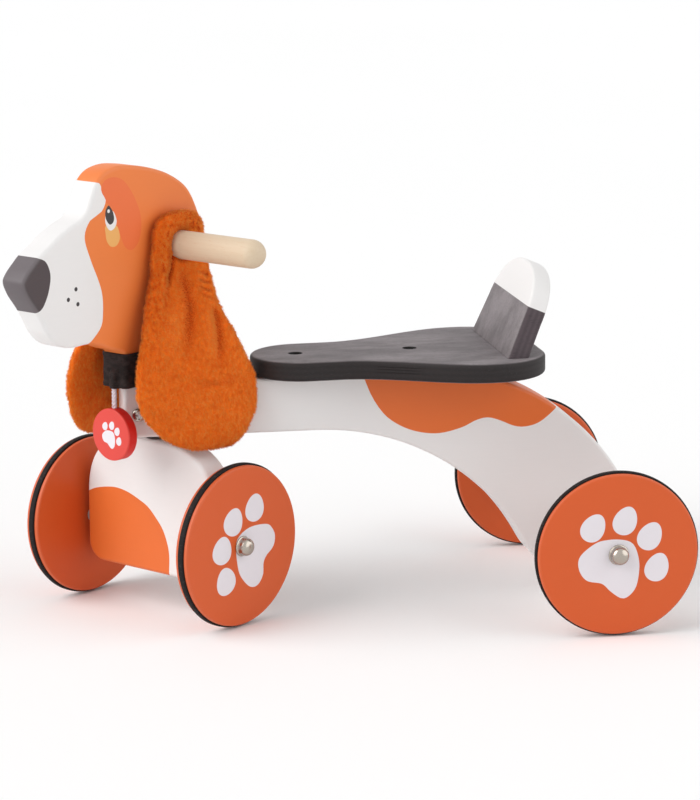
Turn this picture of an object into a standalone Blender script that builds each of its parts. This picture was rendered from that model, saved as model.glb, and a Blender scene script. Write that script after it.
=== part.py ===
"""Wooden ride-on dog: four wheels, an arched beam, a seat and a steered head with plush ears.

Metres, +Z up.  The dog faces -X and its left side is towards -Y.  The head, the front block and
the front wheels are built facing straight ahead and then turned together about the steering axis.
The ground is Z = 0 and the origin lies under the middle of the whole toy.
"""
import math

import bmesh
import bpy
from mathutils import Matrix

# Clearances
GAP = 0.0003              # between pieces that touch
RUNNING_GAP = 0.00015     # radial, between a pin and what turns on it
THROUGH = 0.02            # a through bore is cut this much longer than its piece is thick

# Overall layout
WHEELBASE = 0.3595        # steering axis to rear axle
AXLE_HEIGHT = 0.070
STEERING_LOCK = math.radians(39.5)   # the head is at rest against its left stop

# Wheels
TYRE_RADIUS = AXLE_HEIGHT
TYRE_WIDTH = 0.0056
TYRE_DEPTH = 0.0042
TYRE_EDGE = 0.0009
RIM_DROP = 0.0018         # the rubber stands this much proud of the painted disc
WHEEL_THICKNESS = 0.0130
WHEEL_EDGE = 0.0016
REAR_TRACK = 0.3163       # outer face to outer face
FRONT_TRACK = 0.1870
HUB_BUSH_RADIUS = 0.0065
AXLE_RADIUS = 0.004
AXLE_STUB = 0.0060        # axle end inside the cap
CAP_FLANGE_RADIUS = 0.0086
CAP_FLANGE_HEIGHT = 0.0008
CAP_RADIUS = 0.0075
CAP_WALL_HEIGHT = 0.0042
CAP_HEIGHT = 0.0095
WHEEL_STEPS = 36
SMALL_STEPS = 20

# Beam
BEAM_THICKNESS = 0.040
BEAM_TOP = 0.1998         # at the steering axis; the top rises towards the back
BEAM_TOP_RISE = math.radians(0.6)
BEAM_BOTTOM = 0.1540
BEAM_FRONT = 0.0320       # ahead of the steering axis
BEAM_FRONT_CORNER = 0.004
BEAM_BACK_RADIUS = 0.200  # top arc that falls to the rear axle
BEAM_ARCH_RADIUS = 0.207  # arch under the beam
BEAM_FOOT_RADIUS = 0.051  # round end about the rear axle
BEAM_EDGE = 0.003

# Rear cross bar
CROSSBAR_RADIUS = 0.016
AXLE_WASHER_RADIUS = 0.0085
AXLE_WASHER_THICKNESS = 0.0015

# Seat, placed along the sloping top of the beam
SEAT_THICKNESS = 0.0165
SEAT_FRONT = 0.0785
SEAT_NOSE_HALF_WIDTH = 0.0445
SEAT_NOSE_LENGTH = 0.044
SEAT_WAIST_END = 0.150
SEAT_HALF_WIDTH = 0.0875
SEAT_WIDEST = 0.270
SEAT_REAR = 0.3250
SEAT_CORNER_RADIUS = 0.052
SEAT_EDGE = 0.003
SEAT_SCREW_FRONT = 0.1170
SEAT_SCREW_REAR = 0.2160

# Tail board
TAIL_FRONT = 0.2865
TAIL_LEAN = math.radians(23.3)   # back from square to the seat
TAIL_THICKNESS = 0.0168
TAIL_HEIGHT = 0.0790      # along the board
TAIL_FOOT_HALF_WIDTH = 0.0685
TAIL_SHOULDER_HALF_WIDTH = 0.0640
TAIL_SHOULDER = 0.035
TAIL_DOME_POWER = 2.3
TAIL_EDGE = 0.0016
TAIL_SCREW_SPREAD = 0.036
TAIL_SCREW_REACH = 0.020
TAIL_SCREW_DEPTH = 0.7    # of the foot's depth, back from its front edge

# Wood screws
SCREW_HEAD_RADIUS = 0.0050
SCREW_HEAD_HEIGHT = 0.0030
SCREW_SHANK_RADIUS = 0.0023
SCREW_TIP = 0.005
SCREW_SINK = 0.0040       # top of the head below the face it is sunk in
SCREW_HOLE_RADIUS = 0.0058
SEAT_SCREW_REACH = 0.022  # into the beam

# Front block
BLOCK_THICKNESS = 0.0255
FRONT_SPACER_ROOM = 0.0057  # between the block and the back of a front wheel
BLOCK_HALF_WIDTH = FRONT_TRACK / 2 - WHEEL_THICKNESS - FRONT_SPACER_ROOM
BLOCK_BOTTOM = 0.0340
BLOCK_SHOULDER = 0.0850
BLOCK_ARCH_POWER = 2.8
BLOCK_CORNER = 0.017
BLOCK_EDGE = 0.0035
SPACER_RADIUS = 0.0056

# Head board, outlined ahead of and above the steering axis
HEAD_THICKNESS = 0.0255
HEAD_EDGE = 0.0035
NECK_FRONT = 0.0525
NECK_BACK = 0.0350
NECK_TOP = 0.2290
HEAD_OUTLINE = [
    (0.0560, 0.2325), (0.0680, 0.2365), (0.0800, 0.2415), (0.0935, 0.2446), (0.1090, 0.2443),
    (0.1208, 0.2458), (0.1320, 0.2510), (0.1406, 0.2598), (0.1462, 0.2692), (0.1530, 0.2802),
    (0.1625, 0.2928), (0.1668, 0.3035), (0.1626, 0.3110), (0.1545, 0.3184), (0.1487, 0.3232),
    (0.1364, 0.3307), (0.1252, 0.3377), (0.1124, 0.3438), (0.1000, 0.3485), (0.0928, 0.3556),
    (0.0878, 0.3662), (0.0820, 0.3764), (0.0725, 0.3838), (0.0585, 0.3870), (0.0445, 0.3866),
    (0.0220, 0.3828), (-0.0006, 0.3760), (-0.0193, 0.3662), (-0.0298, 0.3560), (-0.0383, 0.3405),
    (-0.0448, 0.3227), (-0.0482, 0.3020), (-0.0480, 0.2780), (-0.0440, 0.2540), (-0.0380, 0.2380),
]
NOSE_REACH = max(ahead for ahead, _ in HEAD_OUTLINE)

# Handle
HANDLE_AHEAD = -0.0020    # just behind the steering axis
HANDLE_HEIGHT = 0.3169
HANDLE_RADIUS = 0.0120
HANDLE_LENGTH = 0.2330

# Steering post and its bearings
POST_RADIUS = 0.0060
POST_IN_BLOCK = 0.055
POST_IN_NECK = 0.042
POST_PIN_RADIUS = 0.0020
POST_PIN_LENGTH = 0.0230
UPPER_PIN_RISE = 0.0100   # above the bottom of the neck
LOWER_PIN_DROP = 0.0350   # below the top of the block
BEARING_RADIUS = 0.0090
BEARING_LENGTH = 0.0180
FLANGE_RADIUS = 0.0115
FLANGE_THICKNESS = 0.0012
THRUST_WASHER_RADIUS = 0.0115
LOWER_WASHER_THICKNESS = 0.0019
UPPER_WASHER_THICKNESS = 0.0010
BLOCK_TOP = BEAM_BOTTOM - FLANGE_THICKNESS - LOWER_WASHER_THICKNESS - 3 * GAP
SPOT_FACE_RADIUS = FLANGE_RADIUS + 0.0010
SPOT_FACE = BEAM_TOP - SPOT_FACE_RADIUS * math.tan(BEAM_TOP_RISE)   # level seat for the flange
NECK_BOTTOM = SPOT_FACE + FLANGE_THICKNESS + UPPER_WASHER_THICKNESS + 3 * GAP

# Cross bolt through the front of the beam
CROSS_BOLT_AHEAD = 0.0190
CROSS_BOLT_RISE = 0.0200  # above the bottom of the beam
CROSS_BOLT_HEIGHT = BEAM_BOTTOM + CROSS_BOLT_RISE
CROSS_BOLT_RADIUS = 0.0022
CROSS_HEAD_RADIUS = 0.0049
CROSS_HEAD_HEIGHT = 0.0030
CROSS_SLEEVE_RADIUS = 0.0036
CROSS_SLEEVE_LENGTH = 0.0160
CROSS_SLEEVE_FLOOR = 0.0040   # solid metal under the sleeve nut's head
CROSS_BOLT_GRIP = 0.0080      # bolt inside the sleeve

# Collar, cord and tag
COLLAR_THICKNESS = 0.0016
COLLAR_CORNER = 0.0021    # inside
COLLAR_BOTTOM = NECK_BOTTOM
COLLAR_TOP = NECK_TOP - GAP
COLLAR_NOTCH_WIDTH = 0.0054
COLLAR_NOTCH_HEIGHT = 0.0085
CORD_RADIUS = 0.0022
CORD_LEFT = 0.0015        # to the left of the middle of the neck
CORD_IN_TAG = 0.0100
CORD_STEPS = 16
TAG_RADIUS = 0.0220
TAG_THICKNESS = 0.0100
TAG_EDGE = 0.0008
TAG_DROP = 0.0488         # centre of the tag below the top of its cord
TAG_YAW = math.radians(2.5)   # turned back towards the front of the toy

# Left ear, hung on the handle.  Each row is a level section through the flap: its height above
# the handle, then its front edge and its back edge as (ahead of the handle, out from the middle
# of the head), and half its thickness.
EAR_ROWS = [
    (0.0262, (0.0005, 0.0175), (-0.0075, 0.0175), 0.0025),
    (0.0240, (0.0133, 0.0175), (-0.0198, 0.0175), 0.0034),
    (0.0185, (0.0203, 0.0175), (-0.0258, 0.0177), 0.0038),
    (0.0090, (0.0238, 0.0175), (-0.0293, 0.0182), 0.0040),
    (-0.0110, (0.0268, 0.0180), (-0.0273, 0.0250), 0.0042),
    (-0.0267, (0.0298, 0.0195), (-0.0255, 0.0311), 0.0055),
    (-0.0500, (0.0398, 0.0226), (-0.0270, 0.0426), 0.0070),
    (-0.0736, (0.0481, 0.0268), (-0.0296, 0.0577), 0.0076),
    (-0.0940, (0.0551, 0.0297), (-0.0344, 0.0672), 0.0080),
    (-0.1102, (0.0576, 0.0307), (-0.0378, 0.0732), 0.0080),
    (-0.1250, (0.0563, 0.0318), (-0.0378, 0.0750), 0.0080),
    (-0.1390, (0.0503, 0.0337), (-0.0376, 0.0744), 0.0078),
    (-0.1505, (0.0418, 0.0383), (-0.0333, 0.0715), 0.0072),
    (-0.1610, (0.0298, 0.0436), (-0.0268, 0.0687), 0.0060),
    (-0.1672, (0.0173, 0.0491), (-0.0198, 0.0656), 0.0045),
    (-0.1705, (0.0050, 0.0546), (-0.0120, 0.0621), 0.0025),
]
EAR_TIP_DROP = 0.0036     # tip below the top of the front block, beside its arch
EAR_STRETCH = (HANDLE_HEIGHT - BLOCK_TOP + EAR_TIP_DROP) / -EAR_ROWS[-1][0]
EAR_EDGE = 0.45           # thickness at the edges, as a share of the middle
EAR_RING = 24
EAR_SUBDIVISION = 2
FOLD_TOP = -0.015         # the folds start below the handle and fade out towards the bottom
FOLD_BOTTOM = -0.125
FOLDS = [(-0.75, 0.0022, 0.14), (-0.10, 0.0030, 0.16), (0.45, 0.0012, 0.16)]
# Each fold: its place from the back edge (-1) to the front edge (1), its depth, its half width

# Right ear: the same flap hangs further forward and lies closer to the side of the head
RIGHT_EAR_SWING = 0.095   # ahead, per unit below the handle
RIGHT_EAR_OUT = 0.0090
RIGHT_EAR_FLARE = 0.50    # share of the left ear's flare


def clear_scene():
    """Remove whatever the scene holds."""
    for item in list(bpy.data.objects):
        bpy.data.objects.remove(item, do_unlink=True)


def make_collection(name):
    group = bpy.data.collections.new(name)
    bpy.context.scene.collection.children.link(group)
    return group


def make_material(name, colour, roughness, metallic=0.0):
    material = bpy.data.materials.new(name)
    material.use_nodes = True
    shader = material.node_tree.nodes["Principled BSDF"]
    shader.inputs["Base Color"].default_value = (*colour, 1.0)
    shader.inputs["Roughness"].default_value = roughness
    shader.inputs["Metallic"].default_value = metallic
    return material


def add_object(name, data, group, material, parent=None, place=(0, 0, 0), turn=(0, 0, 0)):
    item = bpy.data.objects.new(name, data)
    item.location = place
    item.rotation_euler = turn
    item.parent = parent
    if material is not None:
        data.materials.append(material)
    group.objects.link(item)
    return item


def add_pivot(name, parent=None, place=(0, 0, 0), turn=(0, 0, 0)):
    pivot = bpy.data.objects.new(name, None)
    pivot.empty_display_size = 0.02
    pivot.location = place
    pivot.rotation_euler = turn
    pivot.parent = parent
    TOY.objects.link(pivot)
    return pivot


# Outlines

def arc(centre, radius, start, end, count):
    """Points on a circular arc, both ends included."""
    points = []
    for step in range(count + 1):
        angle = start + (end - start) * step / count
        points.append((centre[0] + radius * math.cos(angle), centre[1] + radius * math.sin(angle)))
    return points


def rounded_rectangle(half_x, half_y, radius, steps=4):
    corners = [(half_x, half_y, 0), (-half_x, half_y, 1), (-half_x, -half_y, 2), (half_x, -half_y, 3)]
    points = []
    for x, y, quarter in corners:
        centre = (x - math.copysign(radius, x), y - math.copysign(radius, y))
        start = quarter * math.pi / 2
        points += arc(centre, radius, start, start + math.pi / 2, steps)
    return points


def smooth_run(points, steps):
    """A Catmull-Rom curve through an open row of points."""
    run = []
    last = len(points) - 1
    for index in range(last):
        before = points[max(index - 1, 0)]
        start = points[index]
        end = points[index + 1]
        after = points[min(index + 2, last)]
        for step in range(steps):
            t = step / steps
            run.append(tuple(
                0.5 * (2 * b + (c - a) * t + (2 * a - 5 * b + 4 * c - d) * t ** 2
                       + (3 * b - a - 3 * c + d) * t ** 3)
                for a, b, c, d in zip(before, start, end, after)
            ))
    run.append(points[last])
    return run


def superellipse_top(half_width, base, height, power, count):
    """Upper half of a superellipse, from its right end over the top to its left end."""
    points = []
    for step in range(count + 1):
        angle = math.pi * step / count
        x = half_width * math.copysign(abs(math.cos(angle)) ** (2 / power), math.cos(angle))
        z = base + height * math.sin(angle) ** (2 / power)
        points.append((x, z))
    return points


# Solids

def board(name, outline, thickness, edge, material, parent=None, place=(0, 0, 0), turn=(0, 0, 0),
          holes=()):
    """A flat board with rounded edges, from an outline in its own XY plane."""
    curve = bpy.data.curves.new(name, "CURVE")
    curve.dimensions = "2D"
    curve.fill_mode = "BOTH"
    curve.extrude = thickness / 2 - edge
    curve.bevel_depth = edge
    curve.bevel_resolution = 1
    curve.offset = -edge
    for loop in (outline, *holes):
        spline = curve.splines.new("POLY")
        spline.points.add(len(loop) - 1)
        for point, (x, y) in zip(spline.points, loop):
            point.co = (x, y, 0, 1)
        spline.use_cyclic_u = True
    item = add_object(name, curve, TOY, None, parent, place, turn)
    return mesh_from_curve(item, material)


def mesh_from_curve(item, material):
    """Turn a curve object into a closed mesh object with the same name and place."""
    bpy.context.view_layer.update()
    name = item.name
    evaluated = item.evaluated_get(bpy.context.evaluated_depsgraph_get())
    mesh = bpy.data.meshes.new_from_object(evaluated)
    shape = bmesh.new()
    shape.from_mesh(mesh)
    bmesh.ops.remove_doubles(shape, verts=shape.verts, dist=0.00001)
    bmesh.ops.recalc_face_normals(shape, faces=shape.faces)
    shape.to_mesh(mesh)
    shape.free()
    parent = item.parent
    place = item.location.copy()
    turn = item.rotation_euler.copy()
    curve = item.data
    bpy.data.objects.remove(item)
    bpy.data.curves.remove(curve)
    mesh.name = name
    mesh.materials.clear()
    return add_object(name, mesh, TOY, material, parent, place, turn)


def turned(name, profile, material, parent=None, place=(0, 0, 0), turn=(0, 0, 0), steps=SMALL_STEPS,
           ring=False, group=None):
    """A piece turned about its own Z from (radius, height) points, running down the outside."""
    mesh = bpy.data.meshes.new(name)
    count = len(profile)
    edges = [(index, index + 1) for index in range(count - 1)]
    if ring:
        edges.append((count - 1, 0))
    mesh.from_pydata([(radius, 0, height) for radius, height in profile], edges, [])
    item = add_object(name, mesh, group or TOY, material, parent, place, turn)
    screw = item.modifiers.new("turning", "SCREW")
    screw.axis = "Z"
    screw.steps = steps
    screw.render_steps = steps
    screw.use_merge_vertices = True
    screw.merge_threshold = 0.00001
    screw.use_smooth_shade = False
    return item


def tube_profile(outer, inner, length):
    """A plain ring section centred on its own middle."""
    half = length / 2
    return [(outer, half), (outer, -half), (inner, -half), (inner, half)]


def rod_profile(radius, top, bottom, chamfer):
    return [(0, top), (radius - chamfer, top), (radius, top - chamfer),
            (radius, bottom + chamfer), (radius - chamfer, bottom), (0, bottom)]


def bore(name, target, radius, length, place, turn=(0, 0, 0), parent=None, steps=SMALL_STEPS):
    """Cut a round hole, centred on place, out of a target."""
    cutter = turned(name, [(0, length / 2), (radius, length / 2), (radius, -length / 2),
                           (0, -length / 2)], None, parent, place, turn, steps, group=CUTTERS)
    cut_with(target, cutter)
    return cutter


def cut_with(target, cutter):
    cutter.hide_render = True
    cutter.display_type = "WIRE"
    cut = target.modifiers.new(cutter.name, "BOOLEAN")
    cut.operation = "DIFFERENCE"
    cut.solver = "EXACT"
    cut.object = cutter


def cutting_box(name, target, size, place, turn=(0, 0, 0), parent=None):
    mesh = bpy.data.meshes.new(name)
    shape = bmesh.new()
    bmesh.ops.create_cube(shape, size=1.0, matrix=Matrix.Diagonal((*size, 1.0)))
    shape.to_mesh(mesh)
    shape.free()
    cutter = add_object(name, mesh, CUTTERS, None, parent, place, turn)
    cut_with(target, cutter)
    return cutter


def smooth_round(item, angle=35):
    """Shade a round mesh smooth, with its real corners kept sharp."""
    item.data.shade_smooth()
    item.data.set_sharp_from_angle(angle=math.radians(angle))
    for modifier in item.modifiers:
        if modifier.type == "SCREW":
            modifier.use_smooth_shade = True


# Directions: a piece turned about its own Z is laid along Y or X with these

UPRIGHT = (0, 0, 0)
STAND_OUTLINE = (math.pi / 2, 0, 0)      # outline's x stays X, its y becomes Z
LEFTWARD = (math.pi / 2, 0, 0)           # own +Z points to -Y, the dog's left
RIGHTWARD = (-math.pi / 2, 0, 0)
FORWARD = (0, -math.pi / 2, 0)           # own +Z points to -X


def beam_outline():
    """Flat front, straight top and bottom, and two arcs that run into the round foot.

    The top arc starts square to the sloping top, so its centre lies on a line parallel to that
    top, at the distance where the arc also touches the foot from outside.
    """
    foot = (WHEELBASE, AXLE_HEIGHT)
    rise = (math.cos(BEAM_TOP_RISE), math.sin(BEAM_TOP_RISE))
    below = BEAM_TOP - BEAM_BACK_RADIUS / rise[0]
    reach = BEAM_BACK_RADIUS - BEAM_FOOT_RADIUS
    foot_along = foot[0] * rise[0] + (foot[1] - below) * rise[1]
    foot_square = (foot[1] - below) * rise[0] - foot[0] * rise[1]
    along = foot_along - math.sqrt(reach ** 2 - foot_square ** 2)
    top_centre = (along * rise[0], below + along * rise[1])
    top_touch = math.atan2(foot[1] - top_centre[1], foot[0] - top_centre[0])
    arch_centre_z = BEAM_BOTTOM - BEAM_ARCH_RADIUS
    span = BEAM_ARCH_RADIUS + BEAM_FOOT_RADIUS
    arch_centre = (foot[0] - math.sqrt(span ** 2 - (foot[1] - arch_centre_z) ** 2), arch_centre_z)
    arch_touch = math.atan2(foot[1] - arch_centre[1], foot[0] - arch_centre[0])
    corner = BEAM_FRONT_CORNER
    points = arc((-BEAM_FRONT + corner, BEAM_BOTTOM + corner), corner, 1.5 * math.pi, math.pi, 3)
    front_top = BEAM_TOP - BEAM_FRONT * math.tan(BEAM_TOP_RISE)
    square = math.pi / 2 + BEAM_TOP_RISE
    points += arc((-BEAM_FRONT + corner, front_top - corner), corner, math.pi, square, 3)
    points += arc(top_centre, BEAM_BACK_RADIUS, square, top_touch, 12)
    points += arc(foot, BEAM_FOOT_RADIUS, top_touch, arch_touch - math.pi, 16)[1:]
    points += arc(arch_centre, BEAM_ARCH_RADIUS, arch_touch, math.pi / 2, 12)[1:]
    return points


def build_beam(material):
    beam = board("beam", beam_outline(), BEAM_THICKNESS, BEAM_EDGE, material, CHASSIS,
                 turn=STAND_OUTLINE)
    middle = (BEAM_TOP + BEAM_BOTTOM) / 2
    height = BEAM_TOP - BEAM_BOTTOM
    bore("beam_post_bore", beam, BEARING_RADIUS + GAP, height + THROUGH, (0, 0, middle), parent=CHASSIS)
    bore("beam_spot_face", beam, SPOT_FACE_RADIUS, height, (0, 0, SPOT_FACE + height / 2),
         parent=CHASSIS)
    bore("beam_crossbar_bore", beam, CROSSBAR_RADIUS + GAP, BEAM_THICKNESS + THROUGH,
         (WHEELBASE, 0, AXLE_HEIGHT), LEFTWARD, CHASSIS)
    bolt_place = (-CROSS_BOLT_AHEAD, 0, CROSS_BOLT_HEIGHT)
    bore("beam_bolt_bore", beam, CROSS_BOLT_RADIUS + GAP, BEAM_THICKNESS + THROUGH, bolt_place,
         LEFTWARD, CHASSIS)
    sleeve_depth = CROSS_SLEEVE_LENGTH + GAP
    bore("beam_sleeve_bore", beam, CROSS_SLEEVE_RADIUS + GAP, 2 * sleeve_depth,
         (-CROSS_BOLT_AHEAD, BEAM_THICKNESS / 2, CROSS_BOLT_HEIGHT), LEFTWARD, CHASSIS)
    for label, along in (("front", SEAT_SCREW_FRONT), ("rear", SEAT_SCREW_REAR)):
        bore("beam_screw_bore_" + label, beam, SCREW_SHANK_RADIUS + GAP,
             2 * (SEAT_SCREW_REACH + GAP), (along, 0, 0), parent=SEAT_FRAME, steps=12)
    smooth_round(beam)


def build_crossbar(material, steel):
    length = REAR_TRACK - 2 * (WHEEL_THICKNESS + AXLE_WASHER_THICKNESS + 2 * GAP)
    bar = turned("rear_crossbar", tube_profile(CROSSBAR_RADIUS, AXLE_RADIUS + GAP, length), material,
                 CHASSIS, (WHEELBASE, 0, AXLE_HEIGHT), LEFTWARD, ring=True)
    smooth_round(bar)
    half = REAR_TRACK / 2 + AXLE_STUB
    axle = turned("rear_axle", rod_profile(AXLE_RADIUS, half, -half, 0.0005), steel, CHASSIS,
                  (WHEELBASE, 0, AXLE_HEIGHT), LEFTWARD)
    smooth_round(axle)
    washer_centre = length / 2 + GAP + AXLE_WASHER_THICKNESS / 2
    for side, sign in (("left", -1), ("right", 1)):
        washer = turned("rear_washer_" + side,
                        tube_profile(AXLE_WASHER_RADIUS, AXLE_RADIUS + GAP, AXLE_WASHER_THICKNESS),
                        steel, CHASSIS, (WHEELBASE, sign * washer_centre, AXLE_HEIGHT), LEFTWARD,
                        ring=True)
        smooth_round(washer)


def seat_outline():
    """Round nose, narrow waist and a wide back with round corners, mirrored about the middle."""
    nose_centre = SEAT_FRONT + SEAT_NOSE_LENGTH
    half = []
    for step in range(8):
        angle = math.pi - step * math.pi / 2 / 7
        half.append((nose_centre + SEAT_NOSE_LENGTH * math.cos(angle),
                     SEAT_NOSE_HALF_WIDTH * math.sin(angle)))
    swell = []
    for step in range(1, 10):
        t = step / 9
        x = SEAT_WAIST_END + (SEAT_WIDEST - SEAT_WAIST_END) * t
        blend = t * t * (3 - 2 * t)
        swell.append((x, SEAT_NOSE_HALF_WIDTH + (SEAT_HALF_WIDTH - SEAT_NOSE_HALF_WIDTH) * blend))
    half += [((nose_centre + SEAT_WAIST_END) / 2, SEAT_NOSE_HALF_WIDTH),
             (SEAT_WAIST_END, SEAT_NOSE_HALF_WIDTH)] + swell
    centre = (SEAT_REAR - SEAT_CORNER_RADIUS, SEAT_HALF_WIDTH - SEAT_CORNER_RADIUS)
    half += arc(centre, SEAT_CORNER_RADIUS, math.pi / 2, 0, 8)[1:]
    mirrored = [(x, -y) for x, y in reversed(half)]
    return half + mirrored[:-1]


def build_seat(material, steel):
    centre_z = GAP + SEAT_THICKNESS / 2
    seat = board("seat", seat_outline(), SEAT_THICKNESS, SEAT_EDGE, material, SEAT_FRAME,
                 (0, 0, centre_z))
    top = centre_z + SEAT_THICKNESS / 2
    for label, along in (("front", SEAT_SCREW_FRONT), ("rear", SEAT_SCREW_REAR)):
        sink = SCREW_SINK + SCREW_HEAD_HEIGHT + GAP
        bore("seat_sink_" + label, seat, SCREW_HOLE_RADIUS, 2 * sink, (along, 0, top),
             parent=SEAT_FRAME, steps=20)
        bore("seat_bore_" + label, seat, SCREW_SHANK_RADIUS + GAP, SEAT_THICKNESS * 3,
             (along, 0, centre_z), parent=SEAT_FRAME, steps=12)
        wood_screw("seat_screw_" + label, steel, (along, 0, top - SCREW_SINK), -SEAT_SCREW_REACH,
                   UPRIGHT)
    foot = TAIL_FRONT + TAIL_SCREW_DEPTH * TAIL_THICKNESS / math.cos(TAIL_LEAN)
    bottom = top - SEAT_THICKNESS
    for label, sign in (("left", -1), ("right", 1)):
        across = sign * TAIL_SCREW_SPREAD
        bore("seat_tail_sink_" + label, seat, SCREW_HOLE_RADIUS,
             2 * (SCREW_SINK + SCREW_HEAD_HEIGHT + GAP), (foot, across, bottom),
             parent=SEAT_FRAME, steps=20)
        bore("seat_tail_bore_" + label, seat, SCREW_SHANK_RADIUS + GAP, SEAT_THICKNESS * 3,
             (foot, across, centre_z), parent=SEAT_FRAME, steps=12)
        wood_screw("tail_screw_" + label, steel, (foot, across, bottom + SCREW_SINK),
                   top + TAIL_SCREW_REACH, (math.pi, 0, 0))
    smooth_round(seat)
    return top, foot


def wood_screw(name, steel, head_top, tip_height, turn):
    """A flat-headed screw in the seat, with its head at head_top and its tip at tip_height."""
    length = abs(head_top[2] - tip_height)
    profile = [(0, 0), (SCREW_HEAD_RADIUS - 0.0006, 0), (SCREW_HEAD_RADIUS, -0.0006),
               (SCREW_HEAD_RADIUS, -SCREW_HEAD_HEIGHT), (SCREW_SHANK_RADIUS, -SCREW_HEAD_HEIGHT),
               (SCREW_SHANK_RADIUS, -length + SCREW_TIP), (0, -length)]
    screw = turned(name, profile, steel, SEAT_FRAME, head_top, turn, steps=16)
    smooth_round(screw)


def tail_outline():
    """Slightly tapered sides under a round top; x runs across and y up the board."""
    top = superellipse_top(TAIL_SHOULDER_HALF_WIDTH, TAIL_SHOULDER, TAIL_HEIGHT - TAIL_SHOULDER,
                           TAIL_DOME_POWER, 28)
    foot = -TAIL_THICKNESS
    return [(TAIL_FOOT_HALF_WIDTH, foot)] + top + [(-TAIL_FOOT_HALF_WIDTH, foot)]


def build_tail(material, seat_top, screw_place):
    """The tail board leans back and its foot is cut level on the seat."""
    base = (TAIL_FRONT, 0, seat_top + GAP)
    lean = (math.pi / 2 + TAIL_LEAN, 0, math.pi / 2)
    half = TAIL_THICKNESS / 2
    middle = (base[0] + half * math.cos(TAIL_LEAN), 0, base[2] - half * math.sin(TAIL_LEAN))
    tail = board("tail_board", tail_outline(), TAIL_THICKNESS, TAIL_EDGE, material, SEAT_FRAME,
                 middle, lean)
    depth = 2 * TAIL_HEIGHT
    cutting_box("tail_foot_cut", tail, (depth, 4 * TAIL_FOOT_HALF_WIDTH, depth),
                (base[0], 0, base[2] - depth / 2), parent=SEAT_FRAME)
    for label, sign in (("left", -1), ("right", 1)):
        bore("tail_bore_" + label, tail, SCREW_SHANK_RADIUS + GAP, 2 * (TAIL_SCREW_REACH + GAP),
             (screw_place, sign * TAIL_SCREW_SPREAD, seat_top), parent=SEAT_FRAME, steps=12)
    smooth_round(tail)


def build_cross_bolt(steel):
    """Pan head on the left side of the beam, sleeve nut on the right."""
    half = BEAM_THICKNESS / 2
    place = (-CROSS_BOLT_AHEAD, 0, CROSS_BOLT_HEIGHT)
    inner_end = half - CROSS_SLEEVE_LENGTH + CROSS_BOLT_GRIP
    seat = half + GAP
    pan = arc((0, seat), CROSS_HEAD_RADIUS, math.pi / 2, 0, 5)
    squash = CROSS_HEAD_HEIGHT / CROSS_HEAD_RADIUS
    head = [(max(x, 0), seat + (y - seat) * squash) for x, y in pan]
    head[0] = (0, seat + CROSS_HEAD_HEIGHT)
    bolt = turned("cross_bolt", head + [(CROSS_BOLT_RADIUS, seat), (CROSS_BOLT_RADIUS, -inner_end),
                                        (0, -inner_end)], steel, CHASSIS, place, LEFTWARD, steps=20)
    smooth_round(bolt)
    sleeve_bottom = seat - CROSS_SLEEVE_LENGTH
    thread = CROSS_BOLT_RADIUS + GAP
    nut = turned("cross_bolt_nut",
                 head + [(CROSS_SLEEVE_RADIUS, seat), (CROSS_SLEEVE_RADIUS, sleeve_bottom),
                         (thread, sleeve_bottom), (thread, seat - CROSS_SLEEVE_FLOOR),
                         (0, seat - CROSS_SLEEVE_FLOOR)],
                 steel, CHASSIS, place, RIGHTWARD, steps=20)
    smooth_round(nut)


def build_bearings(nylon, steel):
    """Two flanged bearings in the beam, with a washer outside each."""
    inner = POST_RADIUS + RUNNING_GAP
    profile = [(FLANGE_RADIUS, FLANGE_THICKNESS + GAP), (FLANGE_RADIUS, GAP),
               (BEARING_RADIUS, GAP), (BEARING_RADIUS, -BEARING_LENGTH),
               (inner, -BEARING_LENGTH), (inner, FLANGE_THICKNESS + GAP)]
    upper = turned("steering_bearing_upper", profile, nylon, CHASSIS, (0, 0, SPOT_FACE), ring=True)
    lower = turned("steering_bearing_lower", profile, nylon, CHASSIS, (0, 0, BEAM_BOTTOM),
                   (math.pi, 0, 0), ring=True)
    washer_low = turned("thrust_washer_lower",
                        tube_profile(THRUST_WASHER_RADIUS, POST_RADIUS + GAP, LOWER_WASHER_THICKNESS),
                        steel, STEERING, (0, 0, BLOCK_TOP + GAP + LOWER_WASHER_THICKNESS / 2),
                        ring=True)
    washer_high = turned("thrust_washer_upper",
                         tube_profile(THRUST_WASHER_RADIUS, POST_RADIUS + GAP, UPPER_WASHER_THICKNESS),
                         steel, STEERING, (0, 0, NECK_BOTTOM - GAP - UPPER_WASHER_THICKNESS / 2),
                         ring=True)
    for item in (upper, lower, washer_low, washer_high):
        smooth_round(item)


def block_outline():
    """Arched top, straight sides and round lower corners; x runs across and y up."""
    top = superellipse_top(BLOCK_HALF_WIDTH, BLOCK_SHOULDER, BLOCK_TOP - BLOCK_SHOULDER,
                           BLOCK_ARCH_POWER, 32)
    corner_x = BLOCK_HALF_WIDTH - BLOCK_CORNER
    corner_z = BLOCK_BOTTOM + BLOCK_CORNER
    left = arc((-corner_x, corner_z), BLOCK_CORNER, math.pi, 1.5 * math.pi, 5)
    right = arc((corner_x, corner_z), BLOCK_CORNER, 1.5 * math.pi, 2 * math.pi, 5)
    return top + left + right


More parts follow.
